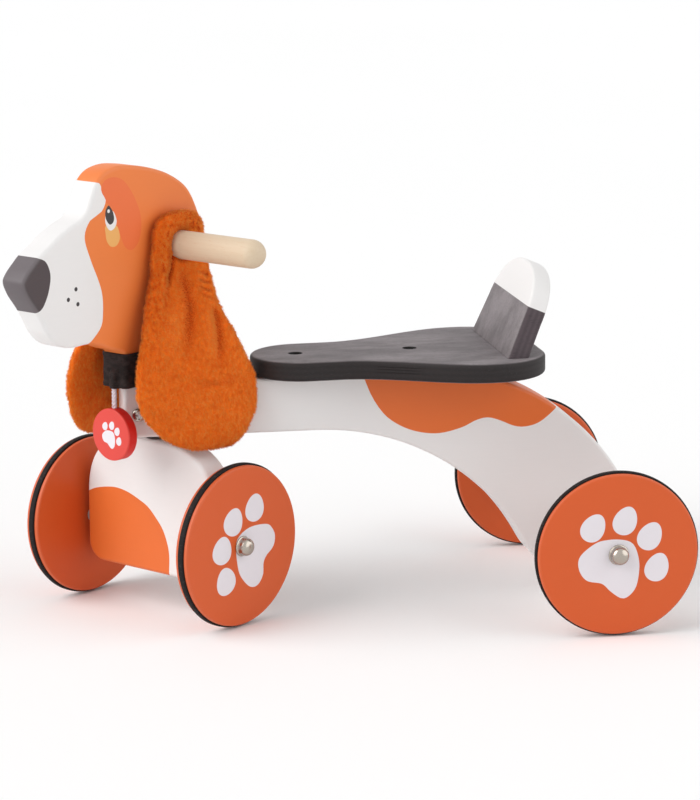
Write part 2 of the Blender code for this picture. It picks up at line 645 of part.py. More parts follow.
def build_front_block(material, steel):
    block = board("front_block", block_outline(), BLOCK_THICKNESS, BLOCK_EDGE, material, STEERING,
                  turn=(math.pi / 2, 0, math.pi / 2))
    bore("block_axle_bore", block, AXLE_RADIUS + GAP, 2 * BLOCK_HALF_WIDTH + THROUGH,
         (0, 0, AXLE_HEIGHT), LEFTWARD, STEERING)
    bore("block_post_bore", block, POST_RADIUS + GAP, 2 * (POST_IN_BLOCK + GAP), (0, 0, BLOCK_TOP),
         parent=STEERING)
    pin_height = BLOCK_TOP - LOWER_PIN_DROP
    pin_reach = POST_PIN_LENGTH / 2 + GAP
    back = BLOCK_THICKNESS / 2
    bore("block_pin_bore", block, POST_PIN_RADIUS + GAP, 2 * POST_PIN_LENGTH + 2 * GAP,
         (back, 0, pin_height), FORWARD, STEERING, steps=16)
    pin = turned("post_pin_lower",
                 rod_profile(POST_PIN_RADIUS, POST_PIN_LENGTH / 2, -POST_PIN_LENGTH / 2, 0.0003),
                 steel, STEERING, (back - pin_reach, 0, pin_height), FORWARD, steps=16)
    smooth_round(pin)
    smooth_round(block)


def build_post(steel):
    bottom = BLOCK_TOP - POST_IN_BLOCK
    top = NECK_BOTTOM + POST_IN_NECK
    post = turned("steering_post", rod_profile(POST_RADIUS, top, bottom, 0.0008), steel, STEERING)
    bore("post_bore_lower", post, POST_PIN_RADIUS + GAP, 4 * POST_RADIUS,
         (0, 0, BLOCK_TOP - LOWER_PIN_DROP), FORWARD, STEERING, steps=16)
    bore("post_bore_upper", post, POST_PIN_RADIUS + GAP, 4 * POST_RADIUS,
         (0, 0, NECK_BOTTOM + UPPER_PIN_RISE), LEFTWARD, STEERING, steps=16)
    smooth_round(post)


def head_outline():
    """Dog's head in profile over a straight neck; x is negative ahead of the steering axis."""
    start = (NECK_FRONT, NECK_TOP)
    end = (NECK_BACK, NECK_TOP)
    profile = smooth_run([start] + HEAD_OUTLINE + [(-end[0], end[1])], 2)
    neck = [(-NECK_BACK, NECK_BOTTOM), (NECK_FRONT, NECK_BOTTOM)]
    return [(-ahead, height) for ahead, height in profile + neck]


def build_head(material, steel):
    head = board("head_board", head_outline(), HEAD_THICKNESS, HEAD_EDGE, material, STEERING,
                 turn=STAND_OUTLINE)
    bore("head_handle_bore", head, HANDLE_RADIUS + GAP, 2 * HEAD_THICKNESS,
         (-HANDLE_AHEAD, 0, HANDLE_HEIGHT), LEFTWARD, STEERING)
    bore("head_post_bore", head, POST_RADIUS + GAP, 2 * (POST_IN_NECK + GAP), (0, 0, NECK_BOTTOM),
         parent=STEERING)
    pin_height = NECK_BOTTOM + UPPER_PIN_RISE
    bore("head_pin_bore", head, POST_PIN_RADIUS + GAP, 2 * HEAD_THICKNESS, (0, 0, pin_height),
         LEFTWARD, STEERING, steps=16)
    pin = turned("post_pin_upper",
                 rod_profile(POST_PIN_RADIUS, POST_PIN_LENGTH / 2, -POST_PIN_LENGTH / 2, 0.0003),
                 steel, STEERING, (0, 0, pin_height), LEFTWARD, steps=16)
    smooth_round(pin)
    smooth_round(head)


def build_handle(material):
    half = HANDLE_LENGTH / 2
    straight = half - HANDLE_RADIUS
    profile = arc((0, straight), HANDLE_RADIUS, math.pi / 2, 0, 5)
    profile += arc((0, -straight), HANDLE_RADIUS, 0, -math.pi / 2, 5)
    profile[0] = (0, half)
    profile[-1] = (0, -half)
    handle = turned("handle", profile, material, STEERING, (-HANDLE_AHEAD, 0, HANDLE_HEIGHT),
                    LEFTWARD, steps=24)
    smooth_round(handle)


def build_collar(material):
    """A fabric band round the neck, with a notch in front where the tag's cord comes out."""
    middle = (NECK_BACK - NECK_FRONT) / 2
    half_x = (NECK_FRONT + NECK_BACK) / 2 + GAP
    half_y = HEAD_THICKNESS / 2 + GAP
    inner = rounded_rectangle(half_x, half_y, COLLAR_CORNER)
    outer = rounded_rectangle(half_x + COLLAR_THICKNESS, half_y + COLLAR_THICKNESS,
                              COLLAR_CORNER + COLLAR_THICKNESS)
    height = COLLAR_TOP - COLLAR_BOTTOM
    collar = board("collar", outer, height, 0.0, material, STEERING,
                   (middle, 0, COLLAR_BOTTOM + height / 2), holes=(inner,))
    cutting_box("collar_notch", collar,
                (4 * COLLAR_THICKNESS, COLLAR_NOTCH_WIDTH, 2 * COLLAR_NOTCH_HEIGHT),
                (-NECK_FRONT - 2 * COLLAR_THICKNESS, -CORD_LEFT, COLLAR_BOTTOM), parent=STEERING)
    smooth_round(collar)


def build_tag(cord_material, tag_material):
    """A round tag that hangs on a short cord in front of the neck."""
    cord_ahead = NECK_FRONT + GAP + CORD_RADIUS
    cord_top = COLLAR_BOTTOM + COLLAR_NOTCH_HEIGHT - GAP
    swing = add_pivot("tag_swing_pivot", STEERING, (-cord_ahead, -CORD_LEFT, cord_top))
    visible = TAG_DROP - TAG_RADIUS
    curve = bpy.data.curves.new("tag_cord", "CURVE")
    curve.dimensions = "3D"
    curve.bevel_depth = CORD_RADIUS
    curve.bevel_resolution = 2
    curve.use_fill_caps = True
    spline = curve.splines.new("POLY")
    spline.points.add(5)
    length = visible + CORD_IN_TAG
    for index, point in enumerate(spline.points):
        point.co = (0, 0, -length * index / 5, 1)
    cord = add_object("tag_cord", curve, TOY, cord_material, swing)
    mesh_from_curve(cord, cord_material)
    twist = add_pivot("tag_twist_pivot", swing, (0, 0, -TAG_DROP), (0, 0, -TAG_YAW))
    half = TAG_THICKNESS / 2
    edge = TAG_EDGE
    profile = [(0, half), (TAG_RADIUS - edge, half), (TAG_RADIUS, half - edge),
               (TAG_RADIUS, edge - half), (TAG_RADIUS - edge, -half), (0, -half)]
    tag = turned("tag", profile, tag_material, twist, (0, 0, 0), FORWARD, steps=WHEEL_STEPS)
    bore("tag_cord_bore", tag, CORD_RADIUS + GAP, 2 * (CORD_IN_TAG + GAP), (0, 0, TAG_RADIUS),
         parent=twist, steps=CORD_STEPS)
    smooth_round(tag)


def ear_fold(across, height):
    """How far the outer face is drawn in at a place on the flap."""
    below = (height - FOLD_TOP) / (FOLD_BOTTOM - FOLD_TOP)
    if not 0 < below < 1:
        return 0.0
    fade = min(below / 0.15, 1.0) * (1 - below) ** 0.7
    return fade * sum(depth * math.exp(-((across - place) / width) ** 2)
                      for place, depth, width in FOLDS)


def hung_row(row):
    """A row stretched below the handle, so that the ear ends above the front block."""
    height, front, back, half = row
    return (height * EAR_STRETCH if height < 0 else height), front, back, half


def right_ear_row(row):
    """A row of the left ear moved ahead and out, and turned closer to the head."""
    height, front, back, half = row
    drop = max(-height, 0.0)
    spread = min(drop / 0.11, 1.0)
    shift = RIGHT_EAR_SWING * drop
    out = RIGHT_EAR_OUT * spread
    ahead = (front[0] + shift, front[1] + out)
    behind = (back[0] + shift, front[1] + out + (back[1] - front[1]) * RIGHT_EAR_FLARE)
    return height, ahead, behind, half


def ear_mesh(name, sections):
    """A padded flap lofted from oval rings, one for each row and one between."""
    rows = [(height, *front, *back, half) for height, front, back, half in sections]
    mesh = bpy.data.meshes.new(name)
    shape = bmesh.new()
    rings = []
    for height, front_x, front_out, back_x, back_out, half in smooth_run(rows, EAR_SUBDIVISION):
        run = math.hypot(front_x - back_x, front_out - back_out)
        normal = ((front_out - back_out) / run, (front_x - back_x) / run)
        ring = []
        for index in range(EAR_RING):
            angle = 2 * math.pi * index / EAR_RING
            across = math.cos(angle)
            face = math.copysign(abs(math.sin(angle)) ** 0.75, math.sin(angle))
            swell = half * (EAR_EDGE + (1 - EAR_EDGE) * (1 - across ** 2))
            depth = swell * face
            if face > 0:
                depth -= min(ear_fold(across, height), swell) * face
            share = (across + 1) / 2
            ahead = back_x + (front_x - back_x) * share - normal[0] * depth
            out = back_out + (front_out - back_out) * share + normal[1] * depth
            ring.append(shape.verts.new((-ahead, -out, height)))
        rings.append(ring)
    for upper, lower in zip(rings, rings[1:]):
        for index in range(EAR_RING):
            after = (index + 1) % EAR_RING
            shape.faces.new((upper[index], upper[after], lower[after], lower[index]))
    shape.faces.new(rings[0])
    shape.faces.new(list(reversed(rings[-1])))
    bmesh.ops.recalc_face_normals(shape, faces=shape.faces)
    shape.to_mesh(mesh)
    shape.free()
    return mesh


def build_ear(side, sign, sections, material):
    """One plush ear; sign is 1 for the dog's left and -1 for its right."""
    pivot = add_pivot("ear_pivot_" + side, STEERING, (-HANDLE_AHEAD, 0, HANDLE_HEIGHT))
    mesh = ear_mesh("ear_" + side, sections)
    if sign < 0:
        mesh.transform(Matrix.Scale(-1, 4, (0, 1, 0)))
        mesh.flip_normals()
    ear = add_object("ear_" + side, mesh, TOY, material, pivot)
    bore("ear_bore_" + side, ear, HANDLE_RADIUS + GAP, HANDLE_LENGTH, (0, -sign * HANDLE_LENGTH / 2, 0),
         LEFTWARD, pivot, steps=24)
    smooth_round(ear, 80)


def wheel_profile():
    """Disc with a groove for the tyre and a bore for the hub bush, one closed loop."""
    half = WHEEL_THICKNESS / 2
    rim = TYRE_RADIUS - RIM_DROP
    groove = TYRE_RADIUS - TYRE_DEPTH - GAP
    groove_half = TYRE_WIDTH / 2 + GAP
    hub = HUB_BUSH_RADIUS + GAP
    return [(rim - WHEEL_EDGE, half), (rim, half - 0.5 * WHEEL_EDGE), (rim, groove_half),
            (groove, groove_half), (groove, -groove_half), (rim, -groove_half),
            (rim, 0.5 * WHEEL_EDGE - half), (rim - WHEEL_EDGE, -half), (hub, -half), (hub, half)]


def tyre_profile():
    half = TYRE_WIDTH / 2
    inner = TYRE_RADIUS - TYRE_DEPTH
    return [(TYRE_RADIUS - TYRE_EDGE, half), (TYRE_RADIUS, half - TYRE_EDGE),
            (TYRE_RADIUS, TYRE_EDGE - half), (TYRE_RADIUS - TYRE_EDGE, -half), (inner, -half),
            (inner, half)]


def cap_profile():
    """Push-on axle cap: flange, short wall and dome, with a blind hole for the axle's end."""
    hole = AXLE_RADIUS + GAP
    depth = AXLE_STUB - GAP
    dome = arc((0, 0), 1.0, math.pi / 2, 0, 5)
    rise = CAP_HEIGHT - CAP_WALL_HEIGHT
    outer = [(CAP_RADIUS * x, CAP_WALL_HEIGHT + rise * y) for x, y in dome]
    outer[0] = (0, CAP_HEIGHT)
    return outer + [(CAP_RADIUS, CAP_FLANGE_HEIGHT), (CAP_FLANGE_RADIUS, CAP_FLANGE_HEIGHT),
                    (CAP_FLANGE_RADIUS, 0), (hole, 0), (hole, depth), (0, depth)]


def build_wheel(end, side, track, carrier, along, materials):
    """Disc, tyre and hub bush turn together; the cap stays on the axle's end."""
    sign = -1 if side == "left" else 1
    outward = LEFTWARD if side == "left" else RIGHTWARD
    label = end + "_{}_" + side
    centre = sign * (track - WHEEL_THICKNESS) / 2
    pivot = add_pivot(label.format("wheel_pivot"), carrier, (along, centre, AXLE_HEIGHT))
    disc = turned(label.format("wheel"), wheel_profile(), materials["paint"], pivot, turn=outward,
                  steps=WHEEL_STEPS, ring=True)
    tyre = turned(label.format("tyre"), tyre_profile(), materials["rubber"], pivot, turn=outward,
                  steps=WHEEL_STEPS, ring=True)
    bush = turned(label.format("hub_bush"),
                  tube_profile(HUB_BUSH_RADIUS, AXLE_RADIUS + RUNNING_GAP, WHEEL_THICKNESS),
                  materials["nylon"], pivot, turn=outward, ring=True)
    cap = turned(label.format("axle_cap"), cap_profile(), materials["nickel"], carrier,
                 (along, sign * (track / 2 + GAP), AXLE_HEIGHT), outward, steps=16)
    for item in (disc, tyre, bush, cap):
        smooth_round(item)


def build_front_axle(steel):
    half = FRONT_TRACK / 2 + AXLE_STUB
    axle = turned("front_axle", rod_profile(AXLE_RADIUS, half, -half, 0.0005), steel, STEERING,
                  (0, 0, AXLE_HEIGHT), LEFTWARD)
    smooth_round(axle)
    inner_face = FRONT_TRACK / 2 - WHEEL_THICKNESS
    length = inner_face - BLOCK_HALF_WIDTH - 2 * GAP
    for side, sign in (("left", -1), ("right", 1)):
        centre = sign * (BLOCK_HALF_WIDTH + inner_face) / 2
        spacer = turned("front_spacer_" + side,
                        tube_profile(SPACER_RADIUS, AXLE_RADIUS + GAP, length), steel, STEERING,
                        (0, centre, AXLE_HEIGHT), LEFTWARD, ring=True)
        smooth_round(spacer)


clear_scene()
TOY = make_collection("ride_on_dog")
CUTTERS = make_collection("cutters")

# The nose's far edge is the front of the turned toy, and the rear tyres are its back
FRONT_REACH = NOSE_REACH * math.cos(STEERING_LOCK) + (
    (HEAD_THICKNESS / 2 - HEAD_EDGE / 2) * math.sin(STEERING_LOCK))
REAR_REACH = WHEELBASE + TYRE_RADIUS
CHASSIS = add_pivot("chassis_frame", place=((FRONT_REACH - REAR_REACH) / 2, 0, 0))
STEERING = add_pivot("steering_pivot", CHASSIS, turn=(0, 0, STEERING_LOCK))
SEAT_FRAME = add_pivot("seat_frame", CHASSIS, (0, 0, BEAM_TOP), (0, -BEAM_TOP_RISE, 0))

MATERIALS = {
    "white": make_material("white_paint", (0.80, 0.77, 0.75), 0.38),
    "paint": make_material("orange_paint", (0.80, 0.17, 0.03), 0.38),
    "stain": make_material("grey_stain", (0.055, 0.048, 0.050), 0.55),
    "wood": make_material("natural_wood", (0.78, 0.60, 0.38), 0.50),
    "plush": make_material("orange_plush", (0.75, 0.16, 0.012), 0.95),
    "fabric": make_material("black_fabric", (0.020, 0.018, 0.018), 0.90),
    "cord": make_material("white_cord", (0.80, 0.72, 0.74), 0.85),
    "red": make_material("red_paint", (0.75, 0.035, 0.035), 0.35),
    "rubber": make_material("black_rubber", (0.030, 0.027, 0.027), 0.80),
    "nickel": make_material("nickel", (0.75, 0.72, 0.68), 0.18, 1.0),
    "steel": make_material("zinc_steel", (0.60, 0.60, 0.62), 0.35, 1.0),
    "nylon": make_material("white_nylon", (0.75, 0.75, 0.72), 0.45),
}

build_beam(MATERIALS["white"])
build_crossbar(MATERIALS["white"], MATERIALS["steel"])
SEAT_TOP, TAIL_SCREW_PLACE = build_seat(MATERIALS["stain"], MATERIALS["steel"])
build_tail(MATERIALS["stain"], SEAT_TOP, TAIL_SCREW_PLACE)
build_cross_bolt(MATERIALS["steel"])
build_bearings(MATERIALS["nylon"], MATERIALS["steel"])
build_front_block(MATERIALS["white"], MATERIALS["steel"])
build_post(MATERIALS["steel"])
build_head(MATERIALS["paint"], MATERIALS["steel"])
build_handle(MATERIALS["wood"])
build_collar(MATERIALS["fabric"])
build_tag(MATERIALS["cord"], MATERIALS["red"])
HUNG_ROWS = [hung_row(row) for row in EAR_ROWS]
build_ear("left", 1, HUNG_ROWS, MATERIALS["plush"])
build_ear("right", -1, [right_ear_row(row) for row in HUNG_ROWS], MATERIALS["plush"])
build_front_axle(MATERIALS["steel"])
for wheel_side in ("left", "right"):
    build_wheel("front", wheel_side, FRONT_TRACK, STEERING, 0.0, MATERIALS)
    build_wheel("rear", wheel_side, REAR_TRACK, CHASSIS, WHEELBASE, MATERIALS)
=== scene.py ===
"""Looks of a wooden ride-on dog: painted boards, tyred wheels, plush ears, collar, cord and tag.

Metres, +Z up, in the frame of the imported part.  The dog faces -X with its left side towards -Y,
and its head, front block and front wheels are turned to the left by the angle LOCK.
"""
import logging
import math
from dataclasses import dataclass, field, replace
from enum import Enum
from typing import Any, Callable

import bmesh
import bpy
import numpy as np
from mathutils import Euler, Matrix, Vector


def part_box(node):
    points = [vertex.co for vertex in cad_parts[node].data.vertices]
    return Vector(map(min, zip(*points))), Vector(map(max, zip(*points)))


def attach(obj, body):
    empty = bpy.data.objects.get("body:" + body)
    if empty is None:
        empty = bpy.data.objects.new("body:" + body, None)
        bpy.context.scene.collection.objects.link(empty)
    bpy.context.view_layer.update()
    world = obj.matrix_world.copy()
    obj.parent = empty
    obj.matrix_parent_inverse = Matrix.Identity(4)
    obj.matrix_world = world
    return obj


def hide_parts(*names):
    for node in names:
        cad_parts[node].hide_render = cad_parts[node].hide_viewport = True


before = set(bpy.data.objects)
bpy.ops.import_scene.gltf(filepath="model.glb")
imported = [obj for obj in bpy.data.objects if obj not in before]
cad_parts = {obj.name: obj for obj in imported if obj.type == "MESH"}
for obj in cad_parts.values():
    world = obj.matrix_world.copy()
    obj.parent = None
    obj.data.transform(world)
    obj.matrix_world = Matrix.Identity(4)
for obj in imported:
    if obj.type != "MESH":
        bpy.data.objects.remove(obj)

LOG = logging.getLogger("ride_on_dog")
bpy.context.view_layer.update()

Array = np.ndarray
Colour = tuple[float, float, float]
Triple = tuple[float, float, float]
Line = tuple[tuple[float, ...], ...]
Object, Mesh = bpy.types.Object, bpy.types.Mesh
Material, NodeSocket = bpy.types.Material, bpy.types.NodeSocket

LOCK = math.radians(39.5)
AXIS_X = float(sum(corner.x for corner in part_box("steering_post")) / 2)
UP: Triple = (0.0, 0.0, 1.0)
FORWARD: Triple = (-math.cos(LOCK), -math.sin(LOCK), 0.0)
LEFTWARD: Triple = (math.sin(LOCK), -math.cos(LOCK), 0.0)
GAP = 0.0003
WHEELBASE = 0.3595
AXLE_HEIGHT = 0.070
WHEEL_HALF = 0.0065
FACE_REACH = {"front": 0.0935, "rear": 0.15815}
SPECULAR = "Specular IOR Level"


# Geometry

def tenths(*rows: tuple[int, ...]) -> Line:
    """Rows of metres from whole tenths of a millimetre."""
    return tuple(tuple(value / 1e4 for value in row) for row in rows)


def turns(count: int) -> Array:
    """Angles spaced evenly over a whole turn, without its end."""
    return np.arange(count) * (math.tau / count)


def columns_of(*parts: Any) -> Array:
    """Arrays spread to one shape and set side by side in a new last axis."""
    return np.stack(np.broadcast_arrays(*parts), axis=-1)


def unit(rows: Array) -> Array:
    """Every row scaled to length 1."""
    return rows / np.linalg.norm(rows, axis=1, keepdims=True)


def run_along(path: Array) -> Array:
    """Length run from the first point of a path to each of its points."""
    return np.concatenate([[0], np.cumsum(np.linalg.norm(np.diff(path, axis=0), axis=1))])


@dataclass(frozen=True)
class Place:
    """A piece's own axes in the shared frame: its origin and the unit vectors of x, y and out."""

    origin: Triple
    x: Triple
    y: Triple
    out: Triple

    def world(self, points: Array) -> Array:
        """Own coordinates to the shared frame: origin + px x + py y + po out."""
        return np.asarray(self.origin) + np.asarray(points) @ np.array([self.x, self.y, self.out])

    def moved(self, x: float = 0.0, y: float = 0.0, out: float = 0.0) -> "Place":
        """The same axes at another origin, given in this place's own coordinates."""
        return Place(tuple(self.world(np.array([x, y, out]))), self.x, self.y, self.out)


BEAM_TOP = 0.1998
BEAM_RISE = math.radians(0.6)
CHASSIS = Place((AXIS_X, 0.0, 0.0), (1.0, 0.0, 0.0), UP, (0.0, -1.0, 0.0))
STEERED = Place((AXIS_X, 0.0, 0.0), FORWARD, UP, LEFTWARD)
BLOCK_FACE = Place((AXIS_X, 0.0, 0.0), LEFTWARD, UP, FORWARD)
SEAT_PLANE = Place(
    (AXIS_X, 0.0, BEAM_TOP),
    (math.cos(BEAM_RISE), 0.0, math.sin(BEAM_RISE)),
    (0.0, 1.0, 0.0),
    (-math.sin(BEAM_RISE), 0.0, math.cos(BEAM_RISE)),
)


@dataclass
class Surface:
    """Points, faces and point marks of a mesh that is not yet an object."""

    points: Array
    faces: list[list[int]]
    marks: dict[str, Array] = field(default_factory=dict)
    uv: Array | None = None

    def placed(self, place: Place) -> "Surface":
        """The same surface in the shared frame."""
        return Surface(place.world(self.points), self.faces, self.marks, self.uv)


def grid_faces(rows: int, columns: int, close_rows: bool, close_columns: bool) -> list[list[int]]:
    """Quads between neighbours of a rows by columns grid of points.

    Args:
        rows: number of rows.
        columns: number of points in a row.
        close_rows: join the last row to the first.
        close_columns: join the last point of a row to its first.

    Returns:
        Four indices for each quad.
    """
    row = np.arange(rows if close_rows else rows - 1)[:, None]
    column = np.arange(columns if close_columns else columns - 1)[None, :]
    below, beside = (row + 1) % rows, (column + 1) % columns
    quads = np.stack([row * columns + column, row * columns + beside,
                      below * columns + beside, below * columns + column], axis=-1)
    return quads.reshape(-1, 4).tolist()


def arc(centre: tuple[float, float], radius: float, start: float, end: float, count: int) -> Array:
    """Points centre + radius (cos a, sin a) with a running evenly from start to end."""
    angle = np.linspace(start, end, count)
    return columns_of(centre[0] + radius * np.cos(angle), centre[1] + radius * np.sin(angle))


def dome(half: float, shoulder: float, top: float, power: float, count: int) -> Array:
    """Upper half of a superellipse over a shoulder.

    Its points are (w |cos a|^(2/p), shoulder + (top - shoulder) (sin a)^(2/p)), mirrored.
    """
    angle = np.linspace(0, math.pi, count)
    c, s = np.cos(angle), np.sin(angle)
    return columns_of(half * np.sign(c) * np.abs(c) ** (2 / power),
                      shoulder + (top - shoulder) * s ** (2 / power))


def smooth_curve(points: Any, steps: int, closed: bool = False) -> Array:
    """Catmull-Rom curve through points, each span cut in steps.

    Args:
        points: control points, one per row, of any width.
        steps: samples from one control point to the next.
        closed: run from the last point back to the first.

    Returns:
        The samples; an open curve also ends on its last control point.
    """
    knots = np.asarray(points, float)
    count = len(knots)
    index = np.arange(count if closed else count - 1)
    pick = (lambda k: knots[k % count]) if closed else (lambda k: knots[np.clip(k, 0, count - 1)])
    a, b, c, d = (pick(index + k)[:, None, :] for k in (-1, 0, 1, 2))
    t = (np.arange(steps) / steps)[None, :, None]
    run = 0.5 * (2 * b + (c - a) * t + (2 * a - 5 * b + 4 * c - d) * t ** 2
                 + (3 * b - a - 3 * c + d) * t ** 3)
    run = run.reshape(-1, knots.shape[1])
    return run if closed else np.concatenate([run, knots[-1:]])


def eased(corners: Array, cuts: Array, steps: int = 5) -> Array:
    """A closed outline whose corners are replaced by quadratic curves.

    Each corner P becomes (1-s)^2 A + 2s(1-s) P + s^2 B, with A and B on its two sides.

    Args:
        corners: corner points in order.
        cuts: lengths cut off before and after each corner.
        steps: points on each corner.

    Returns:
        The rounded outline.
    """
    corners, cuts = np.asarray(corners, float), np.asarray(cuts, float)

    def towards(other: Array, cut: Array) -> Array:
        """Points on the way from each corner to another one."""
        return corners + unit(other - corners) * cut[:, None]

    first = towards(np.roll(corners, 1, 0), cuts[:, 0])[:, None, :]
    last = towards(np.roll(corners, -1, 0), cuts[:, 1])[:, None, :]
    s = np.linspace(0, 1, steps)[None, :, None]
    bend = (1 - s) ** 2 * first + 2 * s * (1 - s) * corners[:, None, :] + s ** 2 * last
    return bend.reshape(-1, 2)


@dataclass(frozen=True)
class Board:
    """A board sawn to a closed outline, its edges rounded with one radius on both faces."""

    outline: Array
    thickness: float
    edge: float
    steps: int = 6

    def surface(self) -> Surface:
        """Carries the edge's quarter-circle profile along the outline and closes both faces.

        The profile is inset r (1 - sin a) at height t/2 - r (1 - cos a), for a from 0 to 90
        degrees, after one support ring that keeps the face flat.  The mark rim is sin a, and wear
        is sin 2a, so it peaks on the middle of the rounding.
        """
        line = self.outline
        ahead = unit(np.roll(line, -1, 0) - line)
        right = columns_of(ahead[:, 1], -ahead[:, 0])
        before = np.roll(right, 1, 0)
        miter = (right + before) / np.maximum(1 + (right * before).sum(1, keepdims=True), 0.4)
        angle = np.linspace(0, math.pi / 2, self.steps + 1)
        inset = np.concatenate([[self.edge * 1.25], self.edge * (1 - np.sin(angle))])
        height = np.concatenate([[0.0], -self.edge * (1 - np.cos(angle))]) + self.thickness / 2
        rim = np.concatenate([[0.0], np.sin(angle)])
        inset, rim = (np.concatenate([a, a[::-1]]) for a in (inset, rim))
        height = np.concatenate([height, -height[::-1]])
        flat = line[None] - inset[:, None, None] * miter[None]
        rows, columns = flat.shape[:2]
        points = np.concatenate([flat, np.broadcast_to(height[:, None, None], (rows, columns, 1))], 2)
        faces = grid_faces(rows, columns, False, True)
        faces += [list(range(columns)), list(range((rows - 1) * columns, rows * columns))[::-1]]
        rim = np.repeat(rim, columns)
        return Surface(points.reshape(-1, 3), faces, {"rim": rim, "wear": 2 * rim * np.sqrt(1 - rim ** 2)})


@dataclass(frozen=True)
class Turning:
    """A piece turned about its out axis from (radius, height) points."""

    profile: Array
    closed: bool = False
    steps: int = 96

    def surface(self) -> Surface:
        """Carries the profile round the axis: (r cos a, r sin a, h) for a over a whole turn."""
        angle = turns(self.steps)
        radius, height = self.profile[:, :1], self.profile[:, 1:]
        points = columns_of(radius * np.cos(angle), radius * np.sin(angle), height)
        faces = grid_faces(len(radius), self.steps, self.closed, True)
        return Surface(points.reshape(-1, 3), faces)


class Body(Enum):
    """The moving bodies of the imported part."""

    CHASSIS = "chassis"
    STEERING = "steering"
    LEFT_EAR = "left_ear"
    RIGHT_EAR = "right_ear"
    HANGER = "tag_hanger"
    DISC = "tag_disc"
    FRONT_LEFT = "wheel_front_left"
    FRONT_RIGHT = "wheel_front_right"
    REAR_LEFT = "wheel_rear_left"
    REAR_RIGHT = "wheel_rear_right"


def clean_mesh(mesh: Mesh, sharp: float) -> None:
    """Merge doubles, turn the faces outwards and shade smooth up to the sharp angle in degrees."""
    shape = bmesh.new()
    shape.from_mesh(mesh)
    bmesh.ops.remove_doubles(shape, verts=shape.verts, dist=1e-6)
    bmesh.ops.recalc_face_normals(shape, faces=shape.faces)
    shape.to_mesh(mesh)
    shape.free()
    mesh.shade_smooth()
    mesh.set_sharp_from_angle(angle=math.radians(sharp))


def read(items: Any, name: str, width: int = 1, kind: type = float) -> Array:
    """One property of all items of a mesh, in rows of the width where that is over 1."""
    values = np.empty(len(items) * width, kind)
    items.foreach_get(name, values)
    return values.reshape(-1, width) if width > 1 else values


def set_marks(mesh: Mesh, marks: dict[str, Array]) -> None:
    """Keep numbers on the points of a mesh."""
    for name, values in marks.items():
        mesh.attributes.new(name, "FLOAT", "POINT").data.foreach_set("value", values.astype(np.float32))


def make_mesh(name: str, surface: Surface) -> Object:
    """An object at the origin that holds a surface, its marks and its UV map."""
    mesh = bpy.data.meshes.new(name)
    mesh.from_pydata(surface.points.tolist(), [], surface.faces)
    set_marks(mesh, surface.marks)
    if surface.uv is not None:
        corners = read(mesh.loops, "vertex_index", kind=np.int32)
        layer = mesh.uv_layers.new(name="weave")
        layer.data.foreach_set("uv", surface.uv[corners].astype(np.float32).ravel())
    item = bpy.data.objects.new(name, mesh)
    bpy.context.scene.collection.objects.link(item)
    return item


def finish_piece(item: Object, body: Body, material: Material,
                 stands_for: tuple[str, ...] = ()) -> Object:
    """Dress a piece and let it ride.

    Args:
        item: the finished mesh object.
        body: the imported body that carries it.
        material: its finish.
        stands_for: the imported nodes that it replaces.

    Returns:
        The same object.
    """
    item.data.materials.clear()
    item.data.materials.append(material)
    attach(item, body.value)
    if stands_for:
        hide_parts(*stands_for)
    LOG.info("%s: %d faces on %s", item.name, len(item.data.polygons), body.value)
    return item


def make_piece(name: str, surface: Surface, body: Body, material: Material,
               stands_for: tuple[str, ...] = (), sharp: float = 40.0) -> Object:
    """A surface as a finished piece; see finish_piece for the arguments."""
    item = make_mesh(name, surface)
    clean_mesh(item.data, sharp)
    return finish_piece(item, body, material, stands_for)


def apply_modifiers(item: Object) -> None:
    """Put the evaluated mesh in the place of the object's own and drop its modifiers."""
    result = bpy.data.meshes.new_from_object(item.evaluated_get(bpy.context.evaluated_depsgraph_get()))
    item.modifiers.clear()
    before, item.data = item.data, result
    bpy.data.meshes.remove(before)


def cut(item: Object, cutters: list[Surface], sharp: float = 40.0) -> None:
    """Cut closed surfaces out of a piece and keep only the result.

    Args:
        item: the piece that is cut.
        cutters: closed surfaces in the shared frame.
        sharp: angle in degrees above which an edge stays sharp.
    """
    tools = []
    for number, surface in enumerate(cutters):
        tool = make_mesh(f"cutter_{number}", surface)
        clean_mesh(tool.data, sharp)
        modifier = item.modifiers.new(tool.name, "BOOLEAN")
        modifier.operation, modifier.solver, modifier.object = "DIFFERENCE", "EXACT", tool
        tools.append(tool)
    apply_modifiers(item)
    for tool in tools:
        mesh = tool.data
        bpy.data.objects.remove(tool)
        bpy.data.meshes.remove(mesh)
    item.data.shade_smooth()
    item.data.set_sharp_from_angle(angle=math.radians(sharp))


# Materials

def tone(red: int, green: int, blue: int) -> Colour:
    """A display colour of 0 to 255 as linear light."""
    value = np.array([red, green, blue]) / 255
    return tuple(np.where(value <= 0.04045, value / 12.92, ((value + 0.055) / 1.055) ** 2.4).tolist())


def arithmetic(kind: str, swapped: bool = False) -> Callable[["Value", Any], "Value"]:
    """A method that adds a Math node; swapped puts the other term first."""
    def method(self: "Value", other: Any) -> "Value":
        """The Math node on this value and another term."""
        return self.recipe.math(kind, *((other, self) if swapped else (self, other)))
    return method


